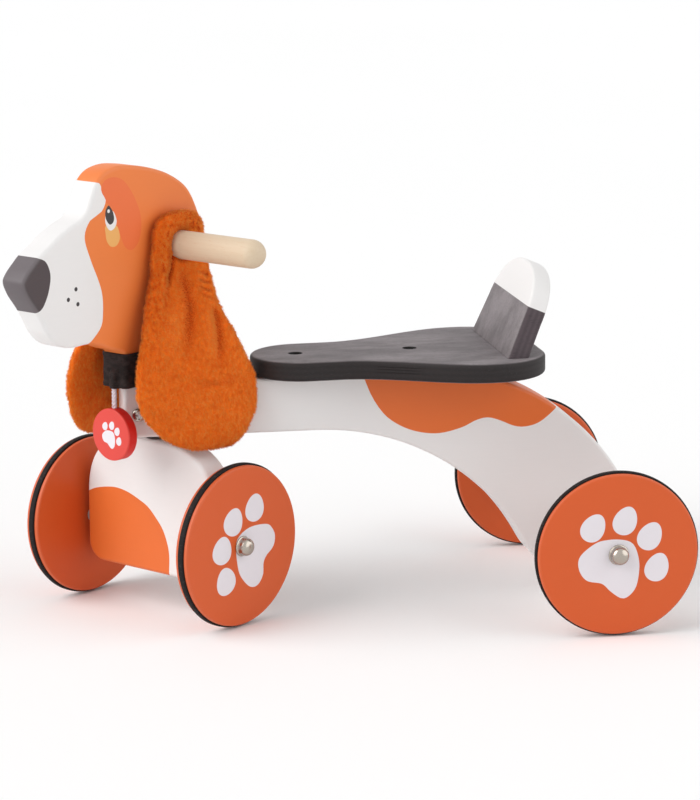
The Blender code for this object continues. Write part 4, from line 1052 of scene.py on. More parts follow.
@dataclass
class Beam:
    """The arched beam, its rear cross bar and the cross bolt through its front."""

    thickness: float = 0.040
    bottom: float = 0.1540
    front: float = 0.0320
    front_corner: float = 0.004
    back_radius: float = 0.200
    arch_radius: float = 0.207
    foot_radius: float = 0.051
    edge: float = 0.003
    crossbar_radius: float = 0.016
    crossbar_length: float = 0.2861
    crossbar_bore: float = 0.0044
    bolt_ahead: float = 0.0196
    bolt_height: float = 0.1740
    bolt_radius: float = 0.0057
    bolt_dome: float = 0.0030
    bolt_steps: int = 96

    def outline(self) -> Array:
        """Flat front, straight top and bottom, and two arcs that run into the round foot.

        The top arc starts square to the sloping top and touches the foot's circle from outside,
        and the arch touches it from below.
        """
        foot = np.array([WHEELBASE, AXLE_HEIGHT])
        rise = np.array([math.cos(BEAM_RISE), math.sin(BEAM_RISE)])
        below = BEAM_TOP - self.back_radius / rise[0]
        reach = self.back_radius - self.foot_radius
        along = foot[0] * rise[0] + (foot[1] - below) * rise[1]
        square = (foot[1] - below) * rise[0] - foot[0] * rise[1]
        along -= math.sqrt(reach ** 2 - square ** 2)
        top = (along * rise[0], below + along * rise[1])
        touch = math.atan2(foot[1] - top[1], foot[0] - top[0])
        arch_z = self.bottom - self.arch_radius
        span = self.arch_radius + self.foot_radius
        arch = (foot[0] - math.sqrt(span ** 2 - (foot[1] - arch_z) ** 2), arch_z)
        arch_touch = math.atan2(foot[1] - arch[1], foot[0] - arch[0])
        corner = self.front_corner
        front_top = BEAM_TOP - self.front * math.tan(BEAM_RISE)
        start = math.pi / 2 + BEAM_RISE
        left = -self.front + corner
        return np.concatenate([
            arc((left, self.bottom + corner), corner, 1.5 * math.pi, math.pi, 7),
            arc((left, front_top - corner), corner, math.pi, start, 7),
            arc(top, self.back_radius, start, touch, 60),
            arc(tuple(foot), self.foot_radius, touch, arch_touch - math.pi, 64)[1:],
            arc(arch, self.arch_radius, arch_touch, math.pi / 2, 60)[1:],
        ])[::-1]

    def pan_head(self) -> Surface:
        """A pan head with a cross recess, sampled on a polar grid.

        The dome is h (1 - (r/R)^3)^0.5 over a short wall, less the recess, a smooth mask of two
        crossed slots that gets shallower outwards.
        """
        radius, height, steps = self.bolt_radius, self.bolt_dome, self.bolt_steps
        share = np.concatenate([np.linspace(0, 0.985, 40), [1.0, 1.0]])
        turn = turns(steps)
        r, a = np.meshgrid(share * radius, turn, indexing="ij")
        x, y = r * np.cos(a + 0.5), r * np.sin(a + 0.5)
        slot, reach = radius * 0.115, radius * 0.62
        arm = np.minimum(np.abs(x), np.abs(y))
        mask = np.clip((slot - arm) / (slot * 0.25) + 0.5, 0, 1) * np.clip((reach - r) / (radius * 0.1), 0, 1)
        crown = height * (0.35 + 0.65 * np.sqrt(np.clip(1 - (r / radius) ** 3, 0, 1)))
        z = crown - mask * height * 0.62 * (1 - 0.5 * r / reach)
        z[-1] = 0.0
        points = columns_of(x, y, z).reshape(-1, 3)
        faces = grid_faces(len(share), steps, False, True)
        faces.append(list(range((len(share) - 1) * steps, len(share) * steps))[::-1])
        # The recess mask is also kept as a mark, for the painted shade in the slots.
        return Surface(points, faces, {"recess": mask.ravel()})

    def build(self) -> None:
        """Make the beam, the bar and the bolt's pan head."""
        paint = BeamPaint("beam_paint").material()
        board = Board(self.outline(), self.thickness, self.edge).surface().placed(CHASSIS)
        make_piece("beam_painted", board, Body.CHASSIS, paint, ("beam",))
        axle = CHASSIS.moved(WHEELBASE, AXLE_HEIGHT)
        half, radius, bore = self.crossbar_length / 2, self.crossbar_radius, self.crossbar_bore
        bar = eased([(bore, half), (radius, half), (radius, -half), (bore, -half)],
                    [(0.0003,) * 2, (0.0015,) * 2, (0.0015,) * 2, (0.0003,) * 2])
        make_piece("crossbar_painted", Turning(bar, closed=True, steps=72).surface().placed(axle),
                   Body.CHASSIS, BeamPaint("crossbar_paint").material(),
                   ("rear_crossbar",))
        nickel = Metal("screw_nickel", Shade.NICKEL, 0.16).material()
        bolt = CHASSIS.moved(-self.bolt_ahead, self.bolt_height, self.thickness / 2 + GAP)
        make_piece("bolt_pan_head", self.pan_head().placed(bolt), Body.CHASSIS, nickel, sharp=28)


@dataclass
class Seat:
    """Stained plywood seat with its sunk screw holes, and the tail board that leans on it."""

    thickness: float = 0.0165
    front: float = 0.0785
    nose_half_width: float = 0.0445
    nose_length: float = 0.044
    waist_end: float = 0.150
    half_width: float = 0.0875
    widest: float = 0.270
    rear: float = 0.3250
    corner: float = 0.052
    edge: float = 0.003
    holes: tuple[float, ...] = (0.1170, 0.2160)
    hole_radius: float = 0.0058
    hole_depth: float = 0.0073
    tail_front: float = 0.2865
    tail_lean: float = math.radians(23.3)
    tail_thickness: float = 0.0168
    tail_height: float = 0.0790
    tail_foot: float = 0.0685
    tail_shoulder: float = 0.0640
    tail_shoulder_height: float = 0.035
    tail_power: float = 2.3
    tail_edge: float = 0.0023
    tail_screw_spread: float = 0.036
    tail_screw_depth: float = 0.7
    white_from: float = 0.0464

    def outline(self) -> Array:
        """Elliptic nose, straight waist, a swell 3t^2 - 2t^3 and round rear corners, mirrored."""
        nose = self.front + self.nose_length
        angle = np.linspace(math.pi, math.pi / 2, 28)
        t = np.linspace(0, 1, 40)
        swell = self.nose_half_width + (self.half_width - self.nose_half_width) * t * t * (3 - 2 * t)
        centre = (self.rear - self.corner, self.half_width - self.corner)
        line = np.concatenate([
            columns_of(nose + self.nose_length * np.cos(angle), self.nose_half_width * np.sin(angle)),
            columns_of(self.waist_end + (self.widest - self.waist_end) * t, swell),
            arc(centre, self.corner, math.pi / 2, 0, 32)[1:]])
        return np.concatenate([line, line[::-1][:-1] * (1, -1)])[::-1]

    def tail_outline(self) -> Array:
        """Tapered sides under the upper half of a superellipse."""
        top = dome(self.tail_shoulder, self.tail_shoulder_height, self.tail_height, self.tail_power, 90)
        foot = np.array([[self.tail_foot, -self.tail_thickness]])
        return np.concatenate([foot, top, foot * (-1, 1)])

    def tail_place(self) -> Place:
        """Axes of the tail board: across, up the board, and out of its front face."""
        c, s = math.cos(self.tail_lean), math.sin(self.tail_lean)
        top = GAP + self.thickness
        along, across, square = (np.array(a) for a in (SEAT_PLANE.x, SEAT_PLANE.y, SEAT_PLANE.out))
        back = c * along - s * square
        origin = SEAT_PLANE.world([self.tail_front, 0, top + GAP]) + back * self.tail_thickness / 2
        return Place(tuple(origin), tuple(across), tuple(s * along + c * square), tuple(-back))

    def sink(self, place: Place, out: float) -> Surface:
        """A cutter for a sunk screw hole with an eased mouth."""
        radius, depth = self.hole_radius, self.hole_depth
        mouth, proud = radius + 0.0006, 0.004
        profile = np.array([(0, proud), (mouth, proud), (mouth, 0.0),
                            (radius + 0.00025, -0.0003), (radius, -0.0008), (radius, -depth), (0, -depth)])
        return Turning(profile * (1, out), steps=40).surface().placed(place)

    def build(self) -> None:
        """Make the seat, cut its holes and stand the tail board on it."""
        middle = SEAT_PLANE.moved(out=GAP + self.thickness / 2)
        stain = Stain("seat_stain", middle, self.thickness, split=(0.178, 0.212, -1.0),
                      holes=tuple((along, 0.0) for along in self.holes)).material()
        board = Board(self.outline(), self.thickness, self.edge).surface()
        seat = make_mesh("seat_stained", board.placed(middle))
        clean_mesh(seat.data, 40)
        half = self.thickness / 2
        foot = self.tail_front + self.tail_screw_depth * self.tail_thickness / math.cos(self.tail_lean)
        cutters = [self.sink(middle.moved(along, 0, half), 1) for along in self.holes]
        cutters += [self.sink(middle.moved(foot, side * self.tail_screw_spread, -half), -1)
                    for side in (-1, 1)]
        cut(seat, cutters)
        finish_piece(seat, Body.CHASSIS, stain, ("seat",))
        place = self.tail_place()
        board = Board(self.tail_outline(), self.tail_thickness, self.tail_edge).surface()
        level = (self.tail_thickness / 2 - board.points[:, 2]) * math.tan(self.tail_lean)
        board.points[:, 1] = np.maximum(board.points[:, 1], level)
        # Painted light: the tail's edges take a lighter copy of the stained ply edge, for how they face the
        # lamps.
        dark = Stain("tail_stain", place, self.tail_thickness, white_from=self.white_from,
                     edge=Shade.TAIL_EDGE_LIT).material()
        make_piece("tail_stained", board.placed(place), Body.CHASSIS, dark, ("tail_board",))


@dataclass
class Head:
    """Head board, handle through it and the front block below."""

    thickness: float = 0.0255
    edge: float = 0.0035
    neck_front: float = 0.0525
    neck_back: float = 0.0350
    neck_top: float = 0.2290
    neck_bottom: float = 0.20277
    profile: Line = tenths((560, 2325), (680, 2365), (800, 2415), (935, 2446),
        (1090, 2443), (1208, 2458), (1320, 2510), (1406, 2598), (1462, 2692), (1530, 2802), (1625, 2928),
        (1668, 3035), (1626, 3110), (1545, 3184), (1487, 3232), (1364, 3307), (1252, 3377), (1124, 3438),
        (1000, 3485), (928, 3556), (878, 3662), (820, 3764), (725, 3838), (585, 3870), (445, 3866),
        (220, 3828), (-6, 3760), (-193, 3662), (-298, 3560), (-383, 3405), (-448, 3227), (-482, 3020),
        (-480, 2780), (-440, 2540), (-380, 2380))
    handle_ahead: float = -0.0020
    handle_height: float = 0.3169
    handle_radius: float = 0.0120
    handle_length: float = 0.2330
    block_half_width: float = 0.0748
    block_bottom: float = 0.0340
    block_shoulder: float = 0.0850
    block_top: float = 0.1500
    block_power: float = 2.8
    block_corner: float = 0.017

    def outline(self) -> Array:
        """Catmull-Rom curve through the profile, closed by the straight neck."""
        curve = smooth_curve([(self.neck_front, self.neck_top), *self.profile,
                              (-self.neck_back, self.neck_top)], 8)
        neck = np.array([(-self.neck_back, self.neck_bottom), (self.neck_front, self.neck_bottom)])
        return np.concatenate([curve, neck])

    def block_outline(self) -> Array:
        """The profile is inset r (1 - sin a) at height t/2 - r (1 - cos a), for a from 0 to 90
        degrees, after one support ring that keeps the face flat.  The mark rim is sin a, and the
        wear mark is sin 2a, so it peaks on the middle of the rounding, where the finish paints the
        edge paler: partly a thinner film and partly a painted highlight.
        """
        arch = dome(self.block_half_width, self.block_shoulder, self.block_top, self.block_power, 120)
        x, z = self.block_half_width - self.block_corner, self.block_bottom + self.block_corner
        left = arc((-x, z), self.block_corner, math.pi, 1.5 * math.pi, 14)
        right = arc((x, z), self.block_corner, 1.5 * math.pi, math.tau, 14)
        return np.concatenate([arch, left, right])

    def build(self) -> None:
        """Make the head, the handle and the block."""
        head = Board(self.outline(), self.thickness, self.edge).surface().placed(STEERED)
        make_piece("head_painted", head, Body.STEERING, HeadPaint("head_paint").material(),
                   ("head_board",))
        block = Board(self.block_outline(), self.thickness, self.edge).surface().placed(BLOCK_FACE)
        make_piece("block_painted", block, Body.STEERING, BlockPaint("block_paint").material(),
                   ("front_block",))
        place = STEERED.moved(self.handle_ahead, self.handle_height)
        half, radius = self.handle_length / 2, self.handle_radius
        tip = arc((0, half - radius), radius, math.pi / 2, 0, 16)
        profile = np.concatenate([tip, (tip * (1, -1))[::-1]])
        profile[[0, -1], 0] = 0
        make_piece("handle_beech", Turning(profile, steps=72).surface().placed(place), Body.STEERING,
                   Beech("beech", place).material(), ("handle",))


@dataclass
class Collar:
    """Woven band round the neck, hemmed at both edges, that bulges where it covers the cord.

    The band's bottom edge is cut up over the cord, and a lap of the same webbing fills the cut
    and lifts with the cord.
    """

    half_x: float = 0.04405
    half_y: float = 0.01305
    middle: float = 0.00875
    corner: float = 0.0034
    thickness: float = 0.0016
    bottom: float = 0.20115
    top: float = 0.23050
    hem: float = 0.0036
    cut_height: float = 0.0120
    cut_half: float = 0.0042
    bulge: float = 0.0041
    bulge_half: float = 0.0040
    cord_left: float = 0.0015
    columns: int = 460
    outer_rows: int = 46
    inner_rows: int = 24
    lap_rows: int = 18
    lap_columns: int = 40

    def cut_line(self, left: Array) -> Array:
        """Height of the band's bottom edge: a steep-sided bell over the cord."""
        return self.bottom + self.cut_height * np.exp(-((left - self.cord_left) / self.cut_half) ** 6)

    def reach(self, left: Array, z: Array, edge: Array, front: Array | bool) -> Array:
        """How far the outer side stands off the neck.

        The band is thicker at its hems, waves a little, and swells by exp(-(d / w)^4) over the
        cord, fading out above it.
        """
        fold = 1 / (1 + np.exp((edge - self.hem) / 0.00018))
        band = self.thickness * (0.74 + 0.34 * fold) * np.clip(edge / 0.0006, 0.25, 1) ** 0.5
        fade = np.clip((self.bottom + 0.0170 - z) / 0.0040, 0, 1)
        swell = np.exp(-((left - self.cord_left) / self.bulge_half) ** 4) * fade ** 2 * (3 - 2 * fade)
        return band + np.where(front, self.bulge * swell, 0.0)

    def section(self, rows_up: int, rows_down: int) -> tuple[Array, Array]:
        """Shares of the height up the outer side and down the inner one, and which are outer."""
        up = np.concatenate([np.linspace(0, 1, rows_up), np.linspace(1, 0, rows_down)[1:-1]])
        return up[:, None], (np.arange(len(up)) < rows_up)[:, None]

    def band(self) -> Surface:
        """Carry the closed section round the neck, up its outer side and down its inner one."""
        corners = np.array([(1, 1), (-1, 1), (-1, -1), (1, -1)]) * (self.half_x, self.half_y)
        path = eased(corners, np.full((4, 2), self.corner * 1.2), 9)
        path = np.concatenate([path, path[:1]])
        run = run_along(path)
        s = np.linspace(0, run[-1], self.columns, endpoint=False)
        line = columns_of(*(np.interp(s, run, path[:, k]) for k in (0, 1)))
        ahead = unit(np.roll(line, -1, 0) - np.roll(line, 1, 0))
        outward = columns_of(ahead[:, 1], -ahead[:, 0])
        up, outer = self.section(self.outer_rows, self.inner_rows)
        front = (line[:, 0] > self.half_x * 0.9)[None]
        left = line[None, :, 1]
        low = np.where(front, self.cut_line(left), self.bottom) + 0.0002 * np.sin(s[None] * 95)
        z = low + (self.top - low) * up
        edge = np.minimum(z - self.bottom, self.top - z)
        off = self.reach(left, z, edge, front)
        wave = 0.00018 * np.sin(s[None] * 310 + 2.0 * np.sin(up * 5)) * np.sin(math.pi * up)
        thick = self.reach(left, z, edge, False)
        off = np.where(outer, off + wave, off - thick)
        flat = line[None] + off[..., None] * outward[None]
        points = columns_of(flat[..., 0] + self.middle, z, flat[..., 1])
        uv = columns_of(s[None], z - self.bottom).reshape(-1, 2)
        return Surface(points.reshape(-1, 3), grid_faces(len(up), self.columns, True, True), uv=uv)

    def lap(self) -> Surface:
        """The webbing below the cut, with the same outer side and a hem of its own."""
        half = self.cut_half * 1.18
        left = np.linspace(-half, half, self.lap_columns)[None] + self.cord_left
        up, outer = self.section(self.lap_rows, self.lap_rows)
        z = self.bottom + (self.cut_line(left) - 0.0001 - self.bottom) * up
        z = z - 0.0002 * (1 - up)
        edge = np.maximum(z - self.bottom, 0.0002)
        off = self.reach(left, z, edge, True)
        off = np.where(outer, off, off - 0.0009)
        x = self.middle + self.half_x + np.maximum(off, 0.0001)
        points = columns_of(x, z, left)
        rows, columns = points.shape[:2]
        faces = grid_faces(rows, columns, True, False)
        faces += [list(range(0, rows * columns, columns))[::-1],
                  list(range(columns - 1, rows * columns, columns))]
        uv = columns_of(left + 0.05, z - self.bottom).reshape(-1, 2)
        return Surface(points.reshape(-1, 3), faces, uv=uv)

    def build(self) -> None:
        """Make the band and its lap."""
        webbing = Webbing("webbing").material()
        make_piece("collar_webbing", self.band().placed(STEERED), Body.STEERING, webbing,
                   ("collar",), sharp=70)
        make_piece("collar_lap", self.lap().placed(STEERED), Body.HANGER, webbing, sharp=70)


@dataclass
class TagOnCord:
    """A round red tag on a short twisted cord."""

    ahead: float = 0.0550
    left: float = 0.0015
    top: float = 0.21097
    cord_radius: float = 0.0023
    strands: int = 3
    rings: int = 90
    sides: int = 14
    strand_radius: float = 0.00124
    lay: float = 0.0092
    length: float = 0.0368
    drop: float = 0.0488
    radius: float = 0.0220
    thickness: float = 0.0100
    edge: float = 0.0010
    yaw: float = math.radians(2.5)

    def cord_surface(self) -> Surface:
        """Three round strands wound about the cord's middle line.

        Strand k runs at angle 2 pi (z / lay + k / 3) and radius cord_radius - strand_radius, and
        the skin of each is a circle square to the cord.
        """
        offset, sides = self.cord_radius - self.strand_radius, self.sides
        z, ring = np.linspace(0, -self.length, self.rings)[:, None], turns(sides)
        strand = np.arange(self.strands)[:, None, None]
        turn = math.tau * (z / self.lay + strand / self.strands)
        x = offset * np.cos(turn) + self.strand_radius * np.cos(ring)
        y = offset * np.sin(turn) + self.strand_radius * np.sin(ring)
        points = columns_of(x, z, y).reshape(-1, 3)
        uv = columns_of(-z, ring / math.tau, x)[..., :2].reshape(-1, 2)
        count = self.rings * sides
        tube = grid_faces(self.rings, sides, False, True)
        tube += [list(range(sides)), list(range(count - sides, count))]
        faces = [[index + shift for index in face] for shift in range(0, len(points), count)
                 for face in tube]
        return Surface(points, faces, uv=uv)

    def build(self) -> None:
        """Hang the cord and the tag."""
        exit_place = STEERED.moved(self.ahead, self.top, self.left)
        cord = make_piece("cord_twisted", self.cord_surface().placed(exit_place), Body.HANGER,
                          Yarn("yarn").material(), ("tag_cord",), sharp=80)
        c, s = math.cos(self.yaw), math.sin(self.yaw)
        out = c * np.array(FORWARD) - s * np.array(LEFTWARD)
        across = c * np.array(LEFTWARD) + s * np.array(FORWARD)
        centre = exit_place.moved(y=-self.drop)
        place = Place(centre.origin, tuple(across), UP, tuple(out))
        half, edge = self.thickness / 2, self.edge
        profile = eased([(0, half), (self.radius, half), (self.radius, -half), (0, -half)],
                        [(1e-6,) * 2, (edge,) * 2, (edge,) * 2, (1e-6,) * 2], 7)
        profile[[*range(7), *range(-7, 0)], 0] = 0
        # Painted shade: the tag's rim takes a darker red than its face.
        red = PrintedPaint("tag_paint", place, TAG_PAW, Shade.RED, half - 0.0004,
                           (0.0, -0.0006), Shade.RED_EDGE_SHADE)
        tag = make_piece("tag_painted", Turning(profile, steps=128).surface().placed(place), Body.DISC,
                         red.material(), ("tag",))
        steps = np.linspace(0, -self.length, 24)
        path = exit_place.world(columns_of(0.0, steps, 0.0))


@dataclass(frozen=True)
class Crease:
    """A valley or a ridge of the plush along a row of (ahead, height) points.

    Its height is negative for a valley.
    """

    path: Line
    height: float
    width: float
    fade_in: float = 0.15
    fade_out: float = 0.45

    def bell(self, ahead: Array, height: Array) -> Array:
        """exp(-(d / width)^2), with d the distance to the nearest part of the path.

        It is scaled by 3 s^2 - 2 s^3 over the fading shares of the path at its two ends.
        """
        knots = smooth_curve(self.path, 4)
        run = run_along(knots)
        nearest, along = np.full(ahead.shape, np.inf), np.zeros(ahead.shape)
        for k, (a, b) in enumerate(zip(knots[:-1], knots[1:])):
            way = b - a
            x, y = ahead - a[0], height - a[1]
            share = np.clip((x * way[0] + y * way[1]) / (way @ way), 0, 1)
            away = np.hypot(x - share * way[0], y - share * way[1])
            along = np.where(away < nearest, run[k] + share * (run[k + 1] - run[k]), along)
            nearest = np.minimum(nearest, away)
        part = along / run[-1]
        ends = [np.clip(s / max(f, 1e-6), 0, 1)
                for s, f in ((part, self.fade_in), (1 - part, self.fade_out))]
        soft = [s * s * (3 - 2 * s) for s in ends]
        return np.exp(-(nearest / self.width) ** 2) * soft[0] * soft[1]


@dataclass
class Ear:
    """A plush ear hung on the handle: a puffed skin with its folds, and a pile of fibres."""

    side: int
    body: Body
    swing: float = 0.0
    out_shift: float = 0.0
    flare: float = 1.0
    slim: float = 0.90
    front_ease: float = 0.0074
    back_ease: float = 0.0038
    rings: int = 72
    voxel: float = 0.0031
    cap: float = 0.0022
    pressure: float = 4.0
    frames: int = 20
    even_steps: int = 4
    pinned: float = 0.030
    bore: float = 0.0124
    fibres: int = 47000
    batches: int = 2
    fibre_length: float = 0.0024
    fibre_width: float = 0.00025
    root_depth: float = 0.0004
    seam: float = 0.0022
    rows: Line = tenths((262, 5, 192, -75, 192, 40),
        (240, 133, 198, -198, 198, 54), (185, 203, 203, -258, 204, 62), (90, 238, 206, -293, 210, 66),
        (-110, 268, 209, -273, 266, 68), (-267, 298, 216, -255, 322, 70), (-500, 398, 234, -270, 430, 76),
        (-736, 481, 268, -296, 577, 76), (-940, 551, 297, -344, 672, 80),
        (-1102, 576, 307, -378, 732, 80), (-1250, 563, 318, -378, 750, 80),
        (-1390, 503, 337, -376, 744, 78), (-1505, 418, 383, -333, 715, 72),
        (-1610, 298, 436, -268, 687, 60), (-1672, 173, 491, -198, 656, 45),
        (-1705, 50, 546, -120, 621, 25))
    roll: Crease = Crease(
        tenths((-235, 50), (-175, 165), (-60, 215), (80, 205), (172, 125), (202, 0), (220, -120),
            (262, -240), (330, -420), (420, -640), (490, -850), (520, -1050)), 0.0028, 0.0062, 0.05, 0.5)
    creases: tuple[Crease, ...] = (
        Crease(tenths((120, -60), (125, -110), (150, -185), (190, -245), (225, -300), (290, -420)),
               -0.0040, 0.0027, 0.02, 0.6),
        Crease(tenths((215, -300), (290, -440), (350, -600)), -0.0010, 0.0045, 0.3),
        Crease(tenths((30, -120), (45, -290), (64, -436), (92, -560), (155, -690), (240, -880),
            (290, -1050)), -0.0030, 0.0060, 0.2, 0.55),
        Crease(tenths((190, -400), (285, -600), (350, -800), (395, -1000)), 0.0026, 0.0078, 0.3),
        Crease(tenths((-80, -440), (-30, -630), (30, -840), (80, -990)), 0.0028, 0.0072, 0.3),
        Crease(tenths((-190, -500), (-135, -620), (-105, -740), (-60, -900), (-46, -1090)),
               -0.0032, 0.0050, 0.1, 0.55),
        Crease(tenths((-90, -225), (-165, -250), (-240, -275)), -0.0022, 0.0016, 0.3, 0.1),
        Crease(tenths((-70, -285), (-150, -315), (-225, -335)), -0.0023, 0.0016, 0.3, 0.1),
        Crease(tenths((-60, -350), (-140, -375), (-215, -395)), -0.0020, 0.0016, 0.3, 0.1),
        Crease(tenths((-70, -415), (-130, -435), (-190, -450)), -0.0014, 0.0016, 0.3, 0.1),
        Crease(tenths((-130, -190), (-110, -400), (-100, -520)), 0.0010, 0.0050),
        Crease(tenths((280, -1080), (100, -1120), (-100, -1115), (-270, -1060)), -0.0011, 0.0040,
               0.3, 0.3))

    @property
    def label(self) -> str:
        """Which side the ear hangs on."""
        return "left" if self.side > 0 else "right"

    def sections(self) -> Array:
        """The level sections, moved ahead and turned towards the head for the right ear.

        They are cut a little wider than the ear, because filling it draws its edges in.
        """
        rows = np.array(self.rows)
        drop = np.maximum(-rows[:, 0], 0)
        spread = np.minimum(drop / 0.11, 1.0)
        rows[:, 1] += self.front_ease * (0.5 + 0.5 * spread)
        rows[:, 3] -= self.back_ease
        rows[:, [1, 3]] += self.swing * drop[:, None]
        rows[:, 4] = rows[:, 2] + (rows[:, 4] - rows[:, 2]) * self.flare
        rows[:, [2, 4]] += self.out_shift * spread[:, None]
        rows[:, 5] *= self.slim
        return smooth_curve(rows, 5)

    def blank(self) -> Surface:
        """The unfilled flap: oval rings carried down it.

        A ring's point at angle a lies cos a of the way to the front edge and sin(a)^0.75 of the
        half thickness out of the flap.
        """
        height, front_x, front_out, back_x, back_out, half = (c[:, None] for c in self.sections().T)
        run = np.hypot(front_x - back_x, front_out - back_out)
        angle = turns(self.rings)[None]
        across, sine = np.cos(angle), np.sin(angle)
        depth = half * (0.80 + 0.20 * (1 - across ** 2)) * np.sign(sine) * np.abs(sine) ** 0.75
        share = (across + 1) / 2
        ahead = back_x + (front_x - back_x) * share - (front_out - back_out) / run * depth
        out = back_out + (front_out - back_out) * share + (front_x - back_x) / run * depth
        points = columns_of(ahead, height, out * self.side).reshape(-1, 3)
        rows = len(height)
        faces = grid_faces(rows, self.rings, False, True)
        faces += [list(range(self.rings)), list(range((rows - 1) * self.rings, rows * self.rings))]
        return Surface(points, faces)

    def filled(self, place: Place) -> Object:
        """The flap puffed up by a short cloth simulation, pinned round the handle.

        No point moves further than the cap, and the result is subdivided and applied.
        """
        item = make_mesh(f"ear_{self.label}_skin", self.blank().placed(place))
        clean_mesh(item.data, 80)
        remesh = item.modifiers.new("even", "REMESH")
        remesh.mode, remesh.voxel_size = "VOXEL", self.voxel
        apply_modifiers(item)
        rest = read(item.data.vertices, "co", 3)
        away = np.linalg.norm((rest - place.origin) @ np.array([place.x, place.y]).T, axis=1)
        pins = item.vertex_groups.new(name="pins")
        pins.add(np.flatnonzero(away < self.pinned).tolist(), 1.0, "REPLACE")
        cloth = item.modifiers.new("filling", "CLOTH")
        cloth.settings.use_pressure = True
        cloth.settings.uniform_pressure_force = self.pressure
        cloth.settings.effector_weights.gravity = 0.0
        cloth.settings.vertex_group_mass = "pins"
        scene = bpy.context.scene
        for frame_number in range(1, self.frames + 1):
            scene.frame_set(frame_number)
        puffed = item.evaluated_get(bpy.context.evaluated_depsgraph_get()).data
        move = read(puffed.vertices, "co", 3) - rest
        item.modifiers.clear()
        item.vertex_groups.clear()
        scene.frame_set(1)
        size = np.linalg.norm(move, axis=1, keepdims=True)
        rest = rest + move * np.minimum(1.0, self.cap / np.maximum(size, 1e-9))
        item.data.vertices.foreach_set("co", rest.ravel())
        LOG.info("%s filled, widest move %.2f mm", item.name, float(size.max()) * 1000)
        even = item.modifiers.new("even", "SMOOTH")
        even.factor, even.iterations = 0.5, self.even_steps
        finer = item.modifiers.new("finer", "SUBSURF")
        finer.levels = finer.render_levels = 2
        apply_modifiers(item)
        return item

    def fold(self, item: Object, place: Place) -> None:
        """Press the creases and the furry roll into the outer side.

        Every crease adds its height times its bell along the normal, times how squarely the
        surface faces out.  One mark keeps painted shade for the valleys and the ring round the bore
        and painted highlight for the ridges, and the mark shag keeps the roll.
        """
        mesh = item.data
        points, normals = (read(mesh.vertices, name, 3) for name in ("co", "normal"))
        own = (points - place.origin) @ np.array([place.x, place.y, place.out]).T
        ahead, height = own[:, 0] - self.swing * np.maximum(-own[:, 1], 0), own[:, 1]
        outward = np.clip((normals @ np.array(place.out)) * self.side * 1.6, 0, 1)
        shag = self.roll.bell(ahead, height)
        lift, hollow = self.roll.height * shag, np.zeros(len(points))
        for crease in self.creases:
            bell = crease.bell(ahead, height)
            lift = lift + crease.height * bell
            hollow = hollow - crease.height / 0.0032 * bell
        # Painted shade: a ring round the bore, where the ear gathers on the handle, is pressed in a little
        # and darkened.
        collar = np.exp(-((np.hypot(ahead, height) - self.bore) / self.seam) ** 2)
        lift, hollow = lift - 0.0010 * collar, hollow + 0.8 * collar
        points = points + normals * (lift * outward)[:, None]
        mesh.vertices.foreach_set("co", points.ravel())
        mesh.update()
        set_marks(mesh, {"hollow": hollow * outward, "shag": shag})

    def pile(self, mesh: Mesh, place: Place, draw: np.random.Generator) -> tuple[Surface, Array]:
        """Fibres as slim closed pyramids rooted just under the skin.

        Roots are spread by area.  A fibre leans from the skin's normal down the ear, follows a
        field of waves so that fibres gather in tufts, and has a little scatter of its own.

        Args:
            mesh: the finished skin, in the shared frame.
            place: axes of the handle.
            draw: seeded source of random numbers.

        Returns:
            All the fibres in one surface, with their marks, and their shading normals.
        """
        mesh.calc_loop_triangles()
        corners = read(mesh.loop_triangles, "vertices", 3, np.int32)
        where, normals = (read(mesh.vertices, name, 3) for name in ("co", "normal"))
        tri = where[corners]
        area = np.linalg.norm(np.cross(tri[:, 1] - tri[:, 0], tri[:, 2] - tri[:, 0]), axis=1)
        own = (tri.mean(1) - place.origin) @ np.array([place.x, place.y]).T
        area[np.hypot(*own.T) < self.bore + 0.0006] = 0
        chosen = draw.choice(len(area), self.fibres, p=area / area.sum())
        share = draw.dirichlet((1, 1, 1), self.fibres)
        root = (tri[chosen] * share[..., None]).sum(1)
        normal = unit((normals[corners[chosen]] * share[..., None]).sum(1))
        # The painted fold shade and ridge highlight are carried from the skin to each fibre.
        hollow, shag = ((read(mesh.attributes[name].data, "value")[corners[chosen]] * share).sum(1)
                        for name in ("hollow", "shag"))
        waves = draw.normal(0, 1, (18, 3)) * draw.choice([900.0, 1600.0, 2400.0], (18, 1))
        phase = draw.uniform(0, math.tau, (18, 3))
        tufts = np.sin((root @ waves.T)[:, :, None] + phase[None]).sum(1) / 4.2
        down = np.array([0.0, 0.0, -1.0]) + normal * normal[:, 2:]
        lean = normal + 0.75 * down + (0.58 + 0.40 * shag[:, None]) * tufts
        lean = unit(lean + draw.normal(0, 0.22, (self.fibres, 3)))
        inward = (lean * normal).sum(1, keepdims=True)
        lean = lean + normal * np.clip(0.30 - inward, 0, None)
        length = self.fibre_length * draw.uniform(0.7, 1.15, (self.fibres, 1)) * (1 + 0.45 * shag[:, None])
        side = unit(np.cross(lean, draw.normal(0, 1, (self.fibres, 3))))
        other = np.cross(lean, side)
        base = root - normal * self.root_depth
        turn = turns(3)
        spread = self.fibre_width * (np.cos(turn)[None, :, None] * side[:, None]
                                     + np.sin(turn)[None, :, None] * other[:, None])
        points = np.concatenate([base[:, None] + spread, (root + lean * length)[:, None]], axis=1)
        first = np.arange(self.fibres)[:, None, None] * 4
        faces = first + np.array([[0, 1, 3], [1, 2, 3], [2, 0, 3], [2, 1, 0]])[None]
        marks = {"tip": np.tile([0.0, 0.0, 0.0, 1.0], self.fibres),
                 "shade": np.repeat(draw.uniform(0, 1, self.fibres), 4),
                 "hollow": np.repeat(hollow, 4), "shag": np.repeat(shag, 4)}
